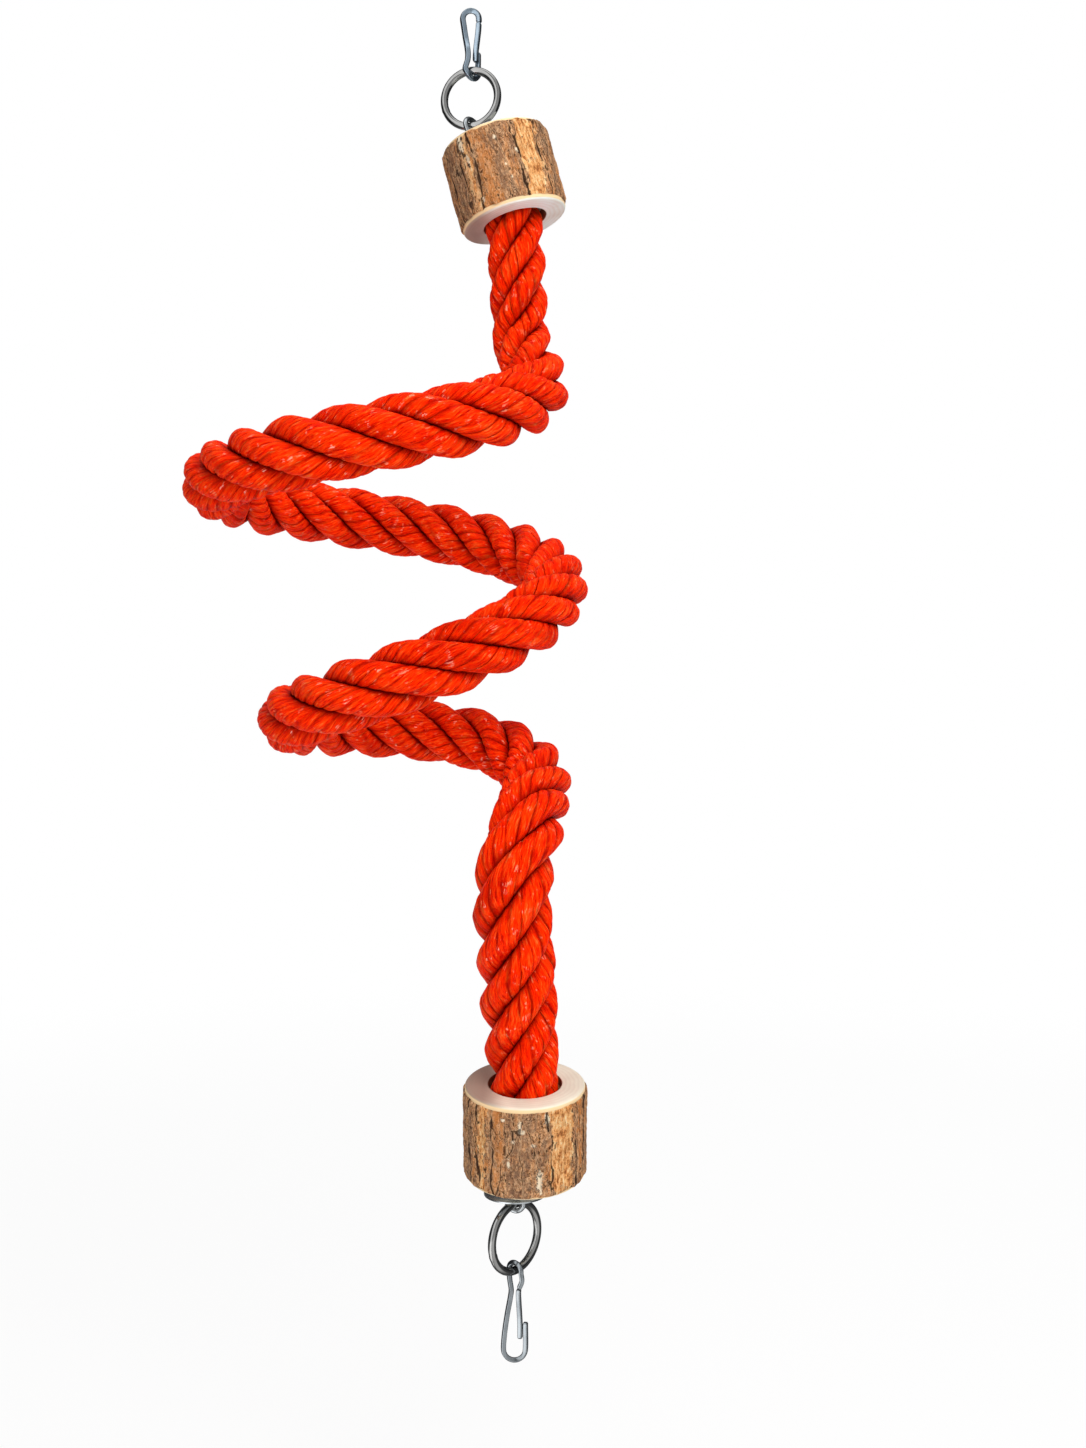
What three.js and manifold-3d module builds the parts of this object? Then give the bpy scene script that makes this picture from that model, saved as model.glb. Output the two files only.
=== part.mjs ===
// A hanging spiral rope perch for birds. A thick four-strand rope with a steel wire core comes straight
// down out of an upper log block, makes two conical turns and runs straight down into a lower log block.
// The wire runs out through the outer face of each block and ends in an eye, crimped by a sleeve. A welded
// ring and a bent-wire snap hook hang the perch from the upper eye, and the same kind of ring and hook
// hang below the lower eye.
//
// Millimetres. +Z is up, +X to the right and +Y away from the viewer. The origin is the point of the
// upper hook's crown that rests on whatever the perch hangs from.

import * as THREE from 'three';
import { mergeVertices } from 'three/addons/utils/BufferGeometryUtils.js';
import Module from 'manifold-3d';

const wasm = await Module();
wasm.setup();

// Fits, the wider one between links that hang in each other
const gap = 0.3;
const linkGap = 0.7;

// Rings, round welded wire, hung on a plumb line under the origin and under the lower eye
const upperRing = { outer: 57.5, wire: 6.9, turnDeg: -14 };
const lowerRing = { outer: 68, wire: 7.5, turnDeg: 48 };

// Wire core of the rope: each end comes out of a block, makes an eye and runs back into a crimp sleeve
const core = { wire: 4.6, clearance: 0.4 };
const eye = { outer: 22.5, spreadDeg: 40 };
const sleeve = { wall: 1.2, length: 4.8, lead: 1.6, clearance: 0.6 };
const washer = { outer: 57, thick: 1.6, hole: 19 };

// Log blocks: a wood core with a rounded rim inside a sleeve of bark, bored for the rope with its end tape
// and some room round that
const bark = { thick: 1.9, ridge: 0.9 };
const rim = { chamfer: 1.8 };
const mouthChamfer = 0.8;
const tape = { length: 22, wall: 0.8 };
const upperBlock = { outer: 100.5, height: 75.3, boreRoom: 2.65, boreDepth: 48, glueDepth: 18 };
const lowerBlock = { outer: 113, height: 85, boreRoom: 2.05, boreDepth: 54, glueDepth: 17 };

// Where the wire leaves each outer face, how it leans there in the block, how far out its eye and its
// sleeve sit, and how far the eye is turned
const upperStub = { x: -12.2, leftDeg: 5, backDeg: 0, eyeAt: 17.4, sleeveAt: 2.6, eyeTurnDeg: 50 };
const lowerStub = { x: -7, leftDeg: 0, backDeg: 9.7, eyeAt: 28, sleeveAt: 8.5, eyeTurnDeg: 26 };

// How the blocks lean: to the viewer's left at the top, and towards the viewer at the top
const upperLean = { leftDeg: 15, nearDeg: -0.5 };
const lowerLean = { leftDeg: 0, nearDeg: 9.7 };

// Rope, measured over its strands
const rope = { upperDia: 51, coilDia: 58.5, lowerDia: 67.2, lowerEndDia: 60 };

// The coil, on a cone that narrows downwards. Angles start at its right side and turn towards the viewer.
const coil = {
  firstTurn: 0.14,
  lastTurn: 1.86,
  stepsPerTurn: 24,
  centreX: -128,
  centreDrift: 28.1,
  centreY: 19.8,
  radius: 177.3,
  radiusLoss: 39.7,
  waist: 3.45,
  depthShare: 0.9,
  startZ: -141.8,
  pitch: 201.7,
  nearDrop: 30.2,
  nearDropGain: -6.6,
  sideDrop: 4,
  sideRise: 12.8,
};

// The rope's free runs above and below the coil, chosen by hand, from a point inside the upper block's
// mouth, and the middles of both mouths
const upperMouth = [1.1, 0, -4.2];
const upperRun = [
  [1.6, 0.8, -26],
  [3.9, 1.4, -68],
  [7.1, 1.5, -112],
  [19.3, -38.3, -166],
];
const lowerRun = [
  [18, 52.2, -508.6],
  [12.2, -34.8, -552.3],
  [0.6, -55.1, -598.1],
  [4.2, -36.1, -698.8],
];
const lowerMouth = [10.2, -16.3, -784];

// Upper snap hook, seen from the front with its crown's inside at the origin. The lip and the arm are
// chosen by hand; the gate runs from the crown's right end down to the inside of the lip.
const upperHook = { wire: 4.8, crownOuter: 19.4, eyeInner: 9.2, eyeHang: 56.6, eyeLeft: 3.2, eyeRight: 5 };
const upperLip = [[6.4, 5.4, -33.8], [6.4, 5.6, -41], [6.2, 6.8, -47.5]];
const upperArm = [
  [-2.6, -6, -45],
  [-2.3, -5.8, -39.5],
  [-2.9, -4.6, -34],
  [-3.9, -1.6, -27.5],
  [-5, 0, -21],
  [-6.5, 0, -11],
];
const upperGate = [[7.25, 0, -8.85], [6.9, 0, -15], [6, 0, -23], [5, 0, -31], [4.4, 0, -38], [4.2, 0, -44]];
const upperRootZ = -8.3;

// Lower snap hook, with its eye round the lower ring's wire at the origin. The gate runs from the eye's
// front end down to the inside of the lip.
const lowerHook = {
  wire: 4.5,
  crownOuter: 24.5,
  crownX: -0.6,
  crownZ: -71.8,
  eyeInner: 9.8,
  eyeTurnDeg: -38,
};
const lowerLipZ = -47.7;
const lowerArm = [[-9.8, 0, -58.7], [-7, 0, -39], [-4.4, 0.6, -25], [-3.6, 1.6, -18.5], [-4.9, 3.2, -10]];
const lowerRoot = [[6.3, -4.6, -8], [3.6, -2.5, -15.6]];
const lowerGate = [
  [3.4, -2.2, -16.7],
  [3.1, -1.2, -21],
  [3.4, 0, -29],
  [4.1, 0, -41],
  [4.45, 0, -49],
  [4.45, 0, -62],
];

// Facet counts
const facets = {
  ring: 48,
  ringWire: 12,
  block: 60,
  barkRidges: 23,
  washer: 40,
  sleeve: 20,
  hookSteps: 64,
  gateSteps: 14,
  ropeSides: 12,
  coreSides: 8,
  runSteps: 3,
  eyeArc: 14,
  bendSteps: 5,
};

const metal = (color, roughness) => new THREE.MeshStandardMaterial({ color, metalness: 1, roughness });
const materials = {
  zinc: metal(0xa9b8c6, 0.32),
  steel: metal(0xb4b4b2, 0.28),
  nickel: metal(0xbfbfbd, 0.18),
  wood: new THREE.MeshStandardMaterial({ color: 0xdccbb4, roughness: 0.75 }),
  bark: new THREE.MeshStandardMaterial({ color: 0x8a6244, roughness: 0.9 }),
  rope: new THREE.MeshStandardMaterial({ color: 0xe8330f, roughness: 0.7 }),
  glue: new THREE.MeshStandardMaterial({ color: 0xd9c98a, roughness: 0.5 }),
  tape: new THREE.MeshStandardMaterial({ color: 0xe4e0d4, roughness: 0.6 }),
};

const radians = THREE.MathUtils.degToRad;
const vector = (x, y, z) => new THREE.Vector3(x, y, z);
const up = vector(0, 0, 1);

// Closed position-only geometry, whatever class it came from
function welded(geometry) {
  const plain = new THREE.BufferGeometry();
  plain.setAttribute('position', geometry.getAttribute('position').clone());
  if (geometry.index) {
    plain.setIndex(geometry.index.clone());
  }
  return mergeVertices(plain, 1e-4);
}

function solid(geometry) {
  const closed = welded(geometry);
  return new wasm.Manifold(new wasm.Mesh({
    numProp: 3,
    vertProperties: new Float32Array(closed.getAttribute('position').array),
    triVerts: new Uint32Array(closed.index.array),
  }));
}

function cut(geometry, ...cutters) {
  const left = cutters.reduce((body, cutter) => body.subtract(solid(cutter)), solid(geometry)).getMesh();
  const result = new THREE.BufferGeometry();
  const positions = new Float32Array(left.vertProperties);
  result.setAttribute('position', new THREE.BufferAttribute(positions, left.numProp));
  result.setIndex(new THREE.BufferAttribute(new Uint32Array(left.triVerts), 1));
  return result;
}

function piece(name, geometry, material) {
  const mesh = new THREE.Mesh(welded(geometry), material);
  mesh.name = name;
  return mesh;
}

// Solid turned about Z from [radius, height] points
function turned(points, segments) {
  const outline = points.map(([r, z]) => new THREE.Vector2(r, z));
  return new THREE.LatheGeometry(outline, segments).rotateX(Math.PI / 2);
}

function discWithHole(outer, inner, low, high, segments) {
  return turned([[inner, low], [outer, low], [outer, high], [inner, high], [inner, low]], segments);
}

function rod(radius, low, high, segments) {
  return new THREE.CylinderGeometry(radius, radius, high - low, segments)
    .rotateX(Math.PI / 2)
    .translate(0, 0, (low + high) / 2);
}

// Wire of a given section bent along a smooth curve through the points
function bentWire(points, section, steps) {
  const path = new THREE.CatmullRomCurve3(points, false, 'centripetal');
  return new THREE.ExtrudeGeometry(section, { steps, bevelEnabled: false, extrudePath: path });
}

// Flat-sided wire with broken corners
function flatSection(size) {
  const half = size / 2;
  const cornerShare = 0.56;
  const c = half * cornerShare;
  const corners = [[half, -c], [half, c], [c, half], [-c, half], [-half, c], [-half, -c], [-c, -half], [c, -half]];
  return new THREE.Shape(corners.map(([x, y]) => new THREE.Vector2(x, y)));
}

// Bark sleeve: its outside is ridged, its inside follows the wood
function barkSleeve(outer, height) {
  const inner = outer / 2 - bark.thick;
  const outline = new THREE.Shape();
  const points = facets.block * 2;
  for (let i = 0; i < points; i += 1) {
    const angle = (2 * Math.PI * i) / points;
    const wave = Math.cos(facets.barkRidges * angle) + Math.sin((facets.barkRidges / 2 + 1.5) * 2 * angle);
    const radius = outer / 2 - (bark.ridge / 4) * (2 - wave);
    outline[i ? 'lineTo' : 'moveTo'](radius * Math.cos(angle), radius * Math.sin(angle));
  }
  const hole = new THREE.Path();
  for (let i = 0; i < facets.block; i += 1) {
    const angle = (2 * Math.PI * i) / facets.block;
    hole[i ? 'lineTo' : 'moveTo'](inner * Math.cos(angle), inner * Math.sin(angle));
  }
  outline.holes.push(hole);
  const depth = height - 2 * rim.chamfer;
  return new THREE.ExtrudeGeometry(outline, { depth, bevelEnabled: false }).translate(0, 0, rim.chamfer);
}

// The wire's stub outside a block, in the block's own frame: mouth at the origin, outer face up
function stubFrame(spec, stub) {
  const lean = new THREE.Euler(-radians(stub.backDeg), -radians(stub.leftDeg), 0);
  const turn = new THREE.Quaternion().setFromAxisAngle(up, radians(stub.eyeTurnDeg));
  const turned = new THREE.Quaternion().setFromEuler(lean).multiply(turn);
  const foot = vector(stub.x, 0, spec.height);
  return new THREE.Matrix4().compose(foot, turned, vector(1, 1, 1));
}

const eyeRadius = (eye.outer - core.wire) / 2;
const tailShift = core.wire + gap;

// Everything at one end of the rope, in the same frame
function ropeEnd(side, spec, stub, ropeDia) {
  const end = new THREE.Group();
  const woodRadius = spec.outer / 2 - bark.thick - gap;
  const boreRadius = ropeDia / 2 + gap + tape.wall + spec.boreRoom;
  const frame = stubFrame(spec, stub);
  const holeRadius = core.wire / 2 + gap;
  const tunnel = () => rod(holeRadius, -spec.height, stub.eyeAt, facets.sleeve).applyMatrix4(frame);
  const woodProfile = [
    [0, spec.boreDepth],
    [boreRadius, spec.boreDepth],
    [boreRadius, mouthChamfer],
    [boreRadius + mouthChamfer, 0],
    [woodRadius - rim.chamfer, 0],
    [woodRadius, rim.chamfer],
    [woodRadius, spec.height - rim.chamfer],
    [woodRadius - rim.chamfer, spec.height],
    [0, spec.height],
  ];
  end.add(piece(`${side}_block`, cut(turned(woodProfile, facets.block), tunnel()), materials.wood));
  end.add(piece(`${side}_bark`, barkSleeve(spec.outer, spec.height), materials.bark));

  const floor = spec.boreDepth - gap;
  const glue = rod(boreRadius - gap, floor - spec.glueDepth, floor, facets.block);
  const ropeDepth = floor - spec.glueDepth - gap;
  const tapeInner = ropeDia / 2 + gap;
  const wrap = discWithHole(tapeInner + tape.wall, tapeInner, ropeDepth - tape.length, ropeDepth, facets.block);
  end.add(piece(`${side}_end_tape`, wrap, materials.tape));
  end.userData = { ropeDepth, floor, frame, glue, side, spec, stub };
  return end;
}

// Crimp sleeve round the wire and its tail, in the stub's frame
function crimpSleeve(stub) {
  const outline = (r) => {
    const shape = new THREE.Shape();
    const half = facets.sleeve / 2;
    for (let i = 0; i <= half; i += 1) {
      const angle = -Math.PI / 2 + (Math.PI * i) / half;
      shape[i ? 'lineTo' : 'moveTo'](r * Math.cos(angle), r * Math.sin(angle));
    }
    for (let i = 0; i <= half; i += 1) {
      const angle = Math.PI / 2 + (Math.PI * i) / half;
      shape.lineTo(r * Math.cos(angle) - tailShift, r * Math.sin(angle));
    }
    return shape;
  };
  const inner = core.wire / 2 + sleeve.clearance;
  const shape = outline(inner + sleeve.wall);
  shape.holes.push(new THREE.Path(outline(inner).getPoints()));
  return new THREE.ExtrudeGeometry(shape, { depth: sleeve.length, bevelEnabled: false })
    .translate(0, 0, stub.sleeveAt);
}

const perch = new THREE.Group();
const upperEnd = ropeEnd('upper', upperBlock, upperStub, rope.upperDia);
upperEnd.position.set(...upperMouth);
upperEnd.rotation.set(radians(upperLean.nearDeg), -radians(upperLean.leftDeg), 0, 'ZYX');
const lowerEnd = ropeEnd('lower', lowerBlock, lowerStub, rope.lowerEndDia);
lowerEnd.position.set(...lowerMouth);
lowerEnd.rotation.set(Math.PI + radians(lowerLean.nearDeg), -radians(lowerLean.leftDeg), 0, 'ZYX');
perch.add(upperEnd, lowerEnd);
perch.updateMatrixWorld(true);

// Wire only: tail, eye and stub of one end, from the tail to the block's bore floor
function stubStations(end) {
  const { frame, spec, stub } = end.userData;
  const place = (across, along) => end.localToWorld(vector(across, 0, along).applyMatrix4(frame));
  const sleeveEnd = stub.sleeveAt + sleeve.length;
  const points = [
    place(-tailShift, stub.sleeveAt + gap),
    place(-tailShift, sleeveEnd - sleeve.lead),
    place(-tailShift, sleeveEnd + gap),
  ];
  for (let i = 0; i <= facets.eyeArc; i += 1) {
    const angle = radians(180 + eye.spreadDeg - ((180 + 2 * eye.spreadDeg) * i) / facets.eyeArc);
    const across = eyeRadius * Math.cos(angle) - tailShift / 2;
    points.push(place(across, stub.eyeAt + eyeRadius * Math.sin(angle)));
  }
  points.push(place(0, sleeveEnd + gap), place(0, sleeveEnd - sleeve.lead), place(0, 0));
  const floorAt = (spec.boreDepth - spec.height) / Math.cos(radians(stub.leftDeg + stub.backDeg));
  points.push(place(0, floorAt), place(0, floorAt - core.wire));
  return points.map((point) => ({ point, diameter: 0, spans: 1 }));
}

// The coil's centreline at a number of turns, counted down from the rope's first pass of its right side
function coilPoint(turns) {
  const angle = 2 * Math.PI * turns;
  const fromMiddle = turns - 1;
  const radius = coil.radius - coil.radiusLoss * turns - coil.waist * fromMiddle ** 2;
  const drop = coil.nearDrop + coil.nearDropGain * fromMiddle;
  const rise = coil.sideRise * turns - coil.sideDrop;
  return vector(
    coil.centreX + coil.centreDrift * turns + radius * Math.cos(angle),
    coil.centreY - radius * coil.depthShare * Math.sin(angle),
    coil.startZ - coil.pitch * turns - drop * Math.sin(angle) + rise * Math.cos(angle),
  );
}

// Rope route: out of the upper bore along its axis, down, twice round, down and into the lower bore
function ropeRoute() {
  const stations = [];
  const add = (point, diameter, spans, axis) => stations.push({ point, diameter, spans, axis });
  const insideShares = [1, 0.8, 0.3];
  const inBore = (end, share) => end.localToWorld(vector(0, 0, end.userData.ropeDepth * share));
  const upperAxis = up.clone().negate().transformDirection(upperEnd.matrixWorld);
  const lowerAxis = up.clone().transformDirection(lowerEnd.matrixWorld);
  insideShares.forEach((share) => add(inBore(upperEnd, share), rope.upperDia, 2, upperAxis));
  upperRun.forEach((place, i) => {
    const joining = i === upperRun.length - 1;
    add(vector(...place), joining ? rope.coilDia : rope.upperDia, facets.runSteps);
  });
  const steps = Math.round((coil.lastTurn - coil.firstTurn) * coil.stepsPerTurn);
  for (let i = 0; i <= steps; i += 1) {
    const turns = coil.firstTurn + i / coil.stepsPerTurn;
    add(coilPoint(turns), rope.coilDia, i === steps ? facets.runSteps : 1);
  }
  const fatteningShares = [1 / 3, 2 / 3, 1, 1];
  lowerRun.forEach((place, i) => {
    const diameter = THREE.MathUtils.lerp(rope.coilDia, rope.lowerDia, fatteningShares[i]);
    add(vector(...place), diameter, facets.runSteps);
  });
  insideShares.reverse().forEach((share) => {
    add(inBore(lowerEnd, share), rope.lowerEndDia, share < 1 ? 2 : facets.bendSteps, lowerAxis);
  });
  return stations;
}

// Rings of points across the route: places, frames and diameters at each one
function routeRings(stations) {
  const path = new THREE.CatmullRomCurve3(stations.map((s) => s.point), false, 'centripetal');
  const last = stations.length - 1;
  const rings = [];
  stations.forEach(({ diameter, spans, axis }, i) => {
    const next = stations[Math.min(i + 1, last)].diameter;
    for (let k = 0; k < (i < last ? spans : 1); k += 1) {
      const share = k / spans;
      const t = (i + share) / last;
      const size = diameter + (next - diameter) * share;
      const covered = diameter > 0 && (next > 0 || k === 0);
      const tangent = axis && k === 0 ? axis.clone() : path.getTangent(t);
      rings.push({ centre: path.getPoint(t), tangent, diameter: size, covered });
    }
  });
  let side = vector(0, 1, 0);
  rings.forEach((ring) => {
    side = side.clone().projectOnPlane(ring.tangent).normalize();
    ring.side = side;
    ring.across = ring.tangent.clone().cross(side);
  });
  return rings;
}

// Closed tube through the rings, solid or with a bore, radii given for each ring
function tubeThrough(rings, outerAt, sides, innerAt, innerSides) {
  const positions = [];
  const index = [];
  const layRings = (radiusAt, count) => {
    const start = positions.length / 3;
    rings.forEach((ring) => {
      for (let i = 0; i < count; i += 1) {
        const angle = (2 * Math.PI * i) / count;
        const point = ring.centre.clone()
          .addScaledVector(ring.side, radiusAt(ring) * Math.cos(angle))
          .addScaledVector(ring.across, radiusAt(ring) * Math.sin(angle));
        positions.push(point.x, point.y, point.z);
      }
    });
    return start;
  };
  const skin = (start, count, inward) => {
    for (let r = 0; r < rings.length - 1; r += 1) {
      for (let i = 0; i < count; i += 1) {
        const a = start + r * count + i;
        const b = start + r * count + ((i + 1) % count);
        const c = a + count;
        const d = b + count;
        index.push(...(inward ? [a, c, b, b, c, d] : [a, b, c, b, d, c]));
      }
    }
  };
  const outerStart = layRings(outerAt, sides);
  skin(outerStart, sides, false);
  const innerStart = innerAt ? layRings(innerAt, innerSides) : -1;
  if (innerAt) {
    skin(innerStart, innerSides, true);
  }
  [0, rings.length - 1].forEach((r) => {
    const ring = rings[r];
    const loop = (radius, count) => Array.from({ length: count }, (_, i) => {
      const angle = (2 * Math.PI * i) / count;
      return new THREE.Vector2(radius * Math.cos(angle), radius * Math.sin(angle));
    });
    const holes = innerAt ? [loop(innerAt(ring), innerSides)] : [];
    const ids = [
      ...Array.from({ length: sides }, (_, i) => outerStart + r * sides + i),
      ...(innerAt ? Array.from({ length: innerSides }, (_, i) => innerStart + r * innerSides + i) : []),
    ];
    THREE.ShapeUtils.triangulateShape(loop(outerAt(ring), sides), holes).forEach(([a, b, c]) => {
      index.push(...(r ? [ids[a], ids[b], ids[c]] : [ids[a], ids[c], ids[b]]));
    });
  });
  const geometry = new THREE.BufferGeometry();
  geometry.setAttribute('position', new THREE.Float32BufferAttribute(positions, 3));
  geometry.setIndex(index);
  return geometry;
}

const upperWire = stubStations(upperEnd);
upperWire.at(-1).spans = facets.bendSteps;
const wireRings = routeRings([...upperWire, ...ropeRoute(), ...stubStations(lowerEnd).reverse()]);
const ropeRings = wireRings.filter((ring) => ring.covered);
const coreRadius = core.wire / 2;
const boreRadius = coreRadius + core.clearance;
const strands = tubeThrough(
  ropeRings,
  (ring) => ring.diameter / 2,
  facets.ropeSides,
  () => boreRadius,
  facets.coreSides,
);
perch.add(piece('rope', strands, materials.rope));
perch.add(piece('core_wire', tubeThrough(wireRings, () => coreRadius, facets.coreSides), materials.steel));

// The rope's least gap to itself, between stretches that lie more than a third of a turn apart
function leastSelfGap(rings) {
  let least = Infinity;
  const apart = coil.stepsPerTurn / 3;
  rings.forEach((a, i) => {
    rings.slice(i + apart).forEach((b) => {
      least = Math.min(least, a.centre.distanceTo(b.centre) - (a.diameter + b.diameter) / 2);
    });
  });
  return least;
}
console.log(`rope: least gap to itself ${leastSelfGap(ropeRings).toFixed(1)} mm`);

// What needs the wire's route or its eye: glue beds, crimp sleeves and washers
[upperEnd, lowerEnd].forEach((end) => {
  const { side, spec, stub, frame, glue, floor } = end.userData;
  const toEnd = end.matrixWorld.clone().invert();
  const isNear = (ring) => {
    const place = ring.centre.clone().applyMatrix4(toEnd);
    return place.z > floor - 2 * spec.glueDepth && place.z < spec.height;
  };
  const near = wireRings.filter(isNear);
  const tunnel = tubeThrough(near, () => coreRadius + gap, facets.coreSides).applyMatrix4(toEnd);
  end.add(piece(`${side}_glue_bed`, cut(glue, tunnel), materials.glue));
  end.add(piece(`${side}_sleeve`, crimpSleeve(stub).applyMatrix4(frame), materials.steel));
});

// Upper washer, flat on the upper block round the wire
const washerShift = vector(-tailShift / 2, 0, 0).applyAxisAngle(up, radians(upperStub.eyeTurnDeg));
const upperPlate = discWithHole(washer.outer / 2, washer.hole / 2, gap, gap + washer.thick, facets.washer);
const upperWasher = piece('upper_washer', upperPlate, materials.steel);
upperWasher.position.set(upperStub.x + washerShift.x, washerShift.y, upperBlock.height);
upperEnd.add(upperWasher);

// Lower washer, level, resting on the shoulders of the lower eye
const lowerFrame = new THREE.Matrix4().multiplyMatrices(lowerEnd.matrixWorld, lowerEnd.userData.frame);
const restRise = Math.sqrt((eye.outer / 2 + gap) ** 2 - (washer.hole / 2) ** 2);
const lowerPlate = discWithHole(washer.outer / 2, washer.hole / 2, 0, washer.thick, facets.washer);
const lowerWasher = piece('lower_washer', lowerPlate, materials.steel);
lowerWasher.position.copy(vector(-tailShift / 2, 0, lowerStub.eyeAt).applyMatrix4(lowerFrame));
lowerWasher.position.z += restRise;
perch.add(lowerWasher);

// The lowest or highest point of an eye's wire centreline, and the level direction of its wire there
function eyeExtreme(end, direction) {
  const frame = new THREE.Matrix4().multiplyMatrices(end.matrixWorld, end.userData.frame);
  const middle = vector(-tailShift / 2, 0, end.userData.stub.eyeAt).applyMatrix4(frame);
  const normal = vector(0, 1, 0).transformDirection(frame);
  const along = direction.clone().projectOnPlane(normal).normalize();
  return { point: middle.clone().addScaledVector(along, eyeRadius), level: normal.clone().cross(along) };
}

// Ring of round wire standing in an upright plane turned about Z, its centre at the place given
function weldedRing(name, spec, place, material) {
  const radius = (spec.outer - spec.wire) / 2;
  const torus = new THREE.TorusGeometry(radius, spec.wire / 2, facets.ringWire, facets.ring);
  const ring = piece(name, torus.rotateX(Math.PI / 2), material);
  ring.rotation.z = radians(spec.turnDeg);
  ring.position.copy(place);
  return ring;
}

// Plumb line: hook's crown, ring, eye
const upperRingTop = linkGap + upperRing.wire / 2 - upperHook.eyeHang;
const upperRingRadius = (upperRing.outer - upperRing.wire) / 2;
const upperRingPlace = vector(0, 0, upperRingTop - upperRingRadius);
const upperContact = upperRingPlace.z - upperRingRadius + upperRing.wire / 2 + gap;
const upperEyeTop = eyeExtreme(upperEnd, up);
perch.position.set(0, 0, upperContact + core.wire / 2).sub(upperEyeTop.point);
perch.updateMatrixWorld(true);
const lowerEyeLow = eyeExtreme(lowerEnd, vector(0, 0, -1));
const lowerRingRadius = (lowerRing.outer - lowerRing.wire) / 2;
const lowerRingTop = lowerEyeLow.point.z + core.wire / 2 + gap + lowerRing.wire / 2;
const lowerRingPlace = lowerEyeLow.point.clone().setZ(lowerRingTop - lowerRingRadius);
const lowerHookPlace = lowerRingPlace.clone().setZ(lowerRingPlace.z - lowerRingRadius);

const list = (table) => table.map((place) => vector(...place));

// Upper hook: lip, eye wound half a turn round the ring's wire, arm, crown
function upperHookBody() {
  const half = upperHook.wire / 2;
  const radius = upperHook.eyeInner / 2 + half;
  const middle = radius - upperHook.eyeHang - half;
  const turn = radians(upperRing.turnDeg);
  const winding = [];
  const steps = 8;
  const reach = radians(80);
  for (let i = 0; i <= steps; i += 1) {
    const angle = reach - (2 * reach * i) / steps;
    const share = i / steps;
    const x = upperHook.eyeRight * (1 - share) - upperHook.eyeLeft * share;
    const place = vector(x, radius * Math.sin(angle), middle - radius * Math.cos(angle));
    winding.push(place.applyAxisAngle(up, turn));
  }
  const crownRadius = upperHook.crownOuter / 2 - half;
  const crown = [];
  for (let i = 0; i <= steps; i += 1) {
    const angle = Math.PI - (Math.PI * i) / steps;
    crown.push(vector(crownRadius * Math.cos(angle), 0, half - crownRadius * (1 - Math.sin(angle))));
  }
  const root = vector(crownRadius, 0, upperRootZ);
  const points = [...list(upperLip), ...winding, ...list(upperArm), ...crown, root];
  return bentWire(points, flatSection(upperHook.wire), facets.hookSteps);
}

// Lower hook: lip, crown, arm, eye over the ring's wire and down to the gate's root
function lowerHookBody() {
  const half = lowerHook.wire / 2;
  const crownRadius = lowerHook.crownOuter / 2 - half;
  const steps = 8;
  const tip = vector(lowerHook.crownX + crownRadius, 0, lowerLipZ);
  const crown = [];
  for (let i = 0; i <= steps; i += 1) {
    const angle = (Math.PI * i) / steps;
    const drop = crownRadius * Math.sin(angle);
    crown.push(vector(lowerHook.crownX + crownRadius * Math.cos(angle), 0, lowerHook.crownZ - drop));
  }
  const radius = lowerHook.eyeInner / 2 + half;
  const top = lowerRing.wire / 2 + linkGap + half;
  const turn = radians(lowerHook.eyeTurnDeg);
  const loop = [];
  const reach = radians(100);
  for (let i = 0; i <= steps; i += 1) {
    const angle = -reach + (2 * reach * i) / steps;
    const x = radius * Math.sin(angle);
    loop.push(vector(x, 0, top - radius * (1 - Math.cos(angle))).applyAxisAngle(up, turn));
  }
  const points = [tip, ...crown, ...list(lowerArm), ...loop, ...list(lowerRoot)];
  return bentWire(points, flatSection(lowerHook.wire), facets.hookSteps);
}

const hooks = new THREE.Group();
const gate = (table, size) => bentWire(list(table), flatSection(size), facets.gateSteps);
hooks.add(piece('upper_hook', upperHookBody(), materials.zinc));
hooks.add(piece('upper_gate', gate(upperGate, upperHook.wire), materials.zinc));
hooks.add(piece('lower_hook', lowerHookBody().translate(...lowerHookPlace.toArray()), materials.steel));
const lowerGateWire = gate(lowerGate, lowerHook.wire).translate(...lowerHookPlace.toArray());
hooks.add(piece('lower_gate', lowerGateWire, materials.steel));

const perchToy = new THREE.Group();
perchToy.name = 'rope_perch';
perchToy.add(hooks, perch);
perchToy.add(weldedRing('upper_ring', upperRing, upperRingPlace, materials.nickel));
perchToy.add(weldedRing('lower_ring', lowerRing, lowerRingPlace, materials.nickel));

export default perchToy;
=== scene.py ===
"""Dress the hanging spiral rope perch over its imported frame.

Sizes are in millimetres, as in the part's source, and become metres where a mesh is made. The frame
has Z up, X to the right and Y away from the viewer.
"""

import logging
import math
from dataclasses import dataclass, field
from enum import Enum
from typing import Any, Callable, Optional, Sequence

import bmesh
import bpy
import numpy as np
from mathutils import Euler, Matrix, Vector


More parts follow.
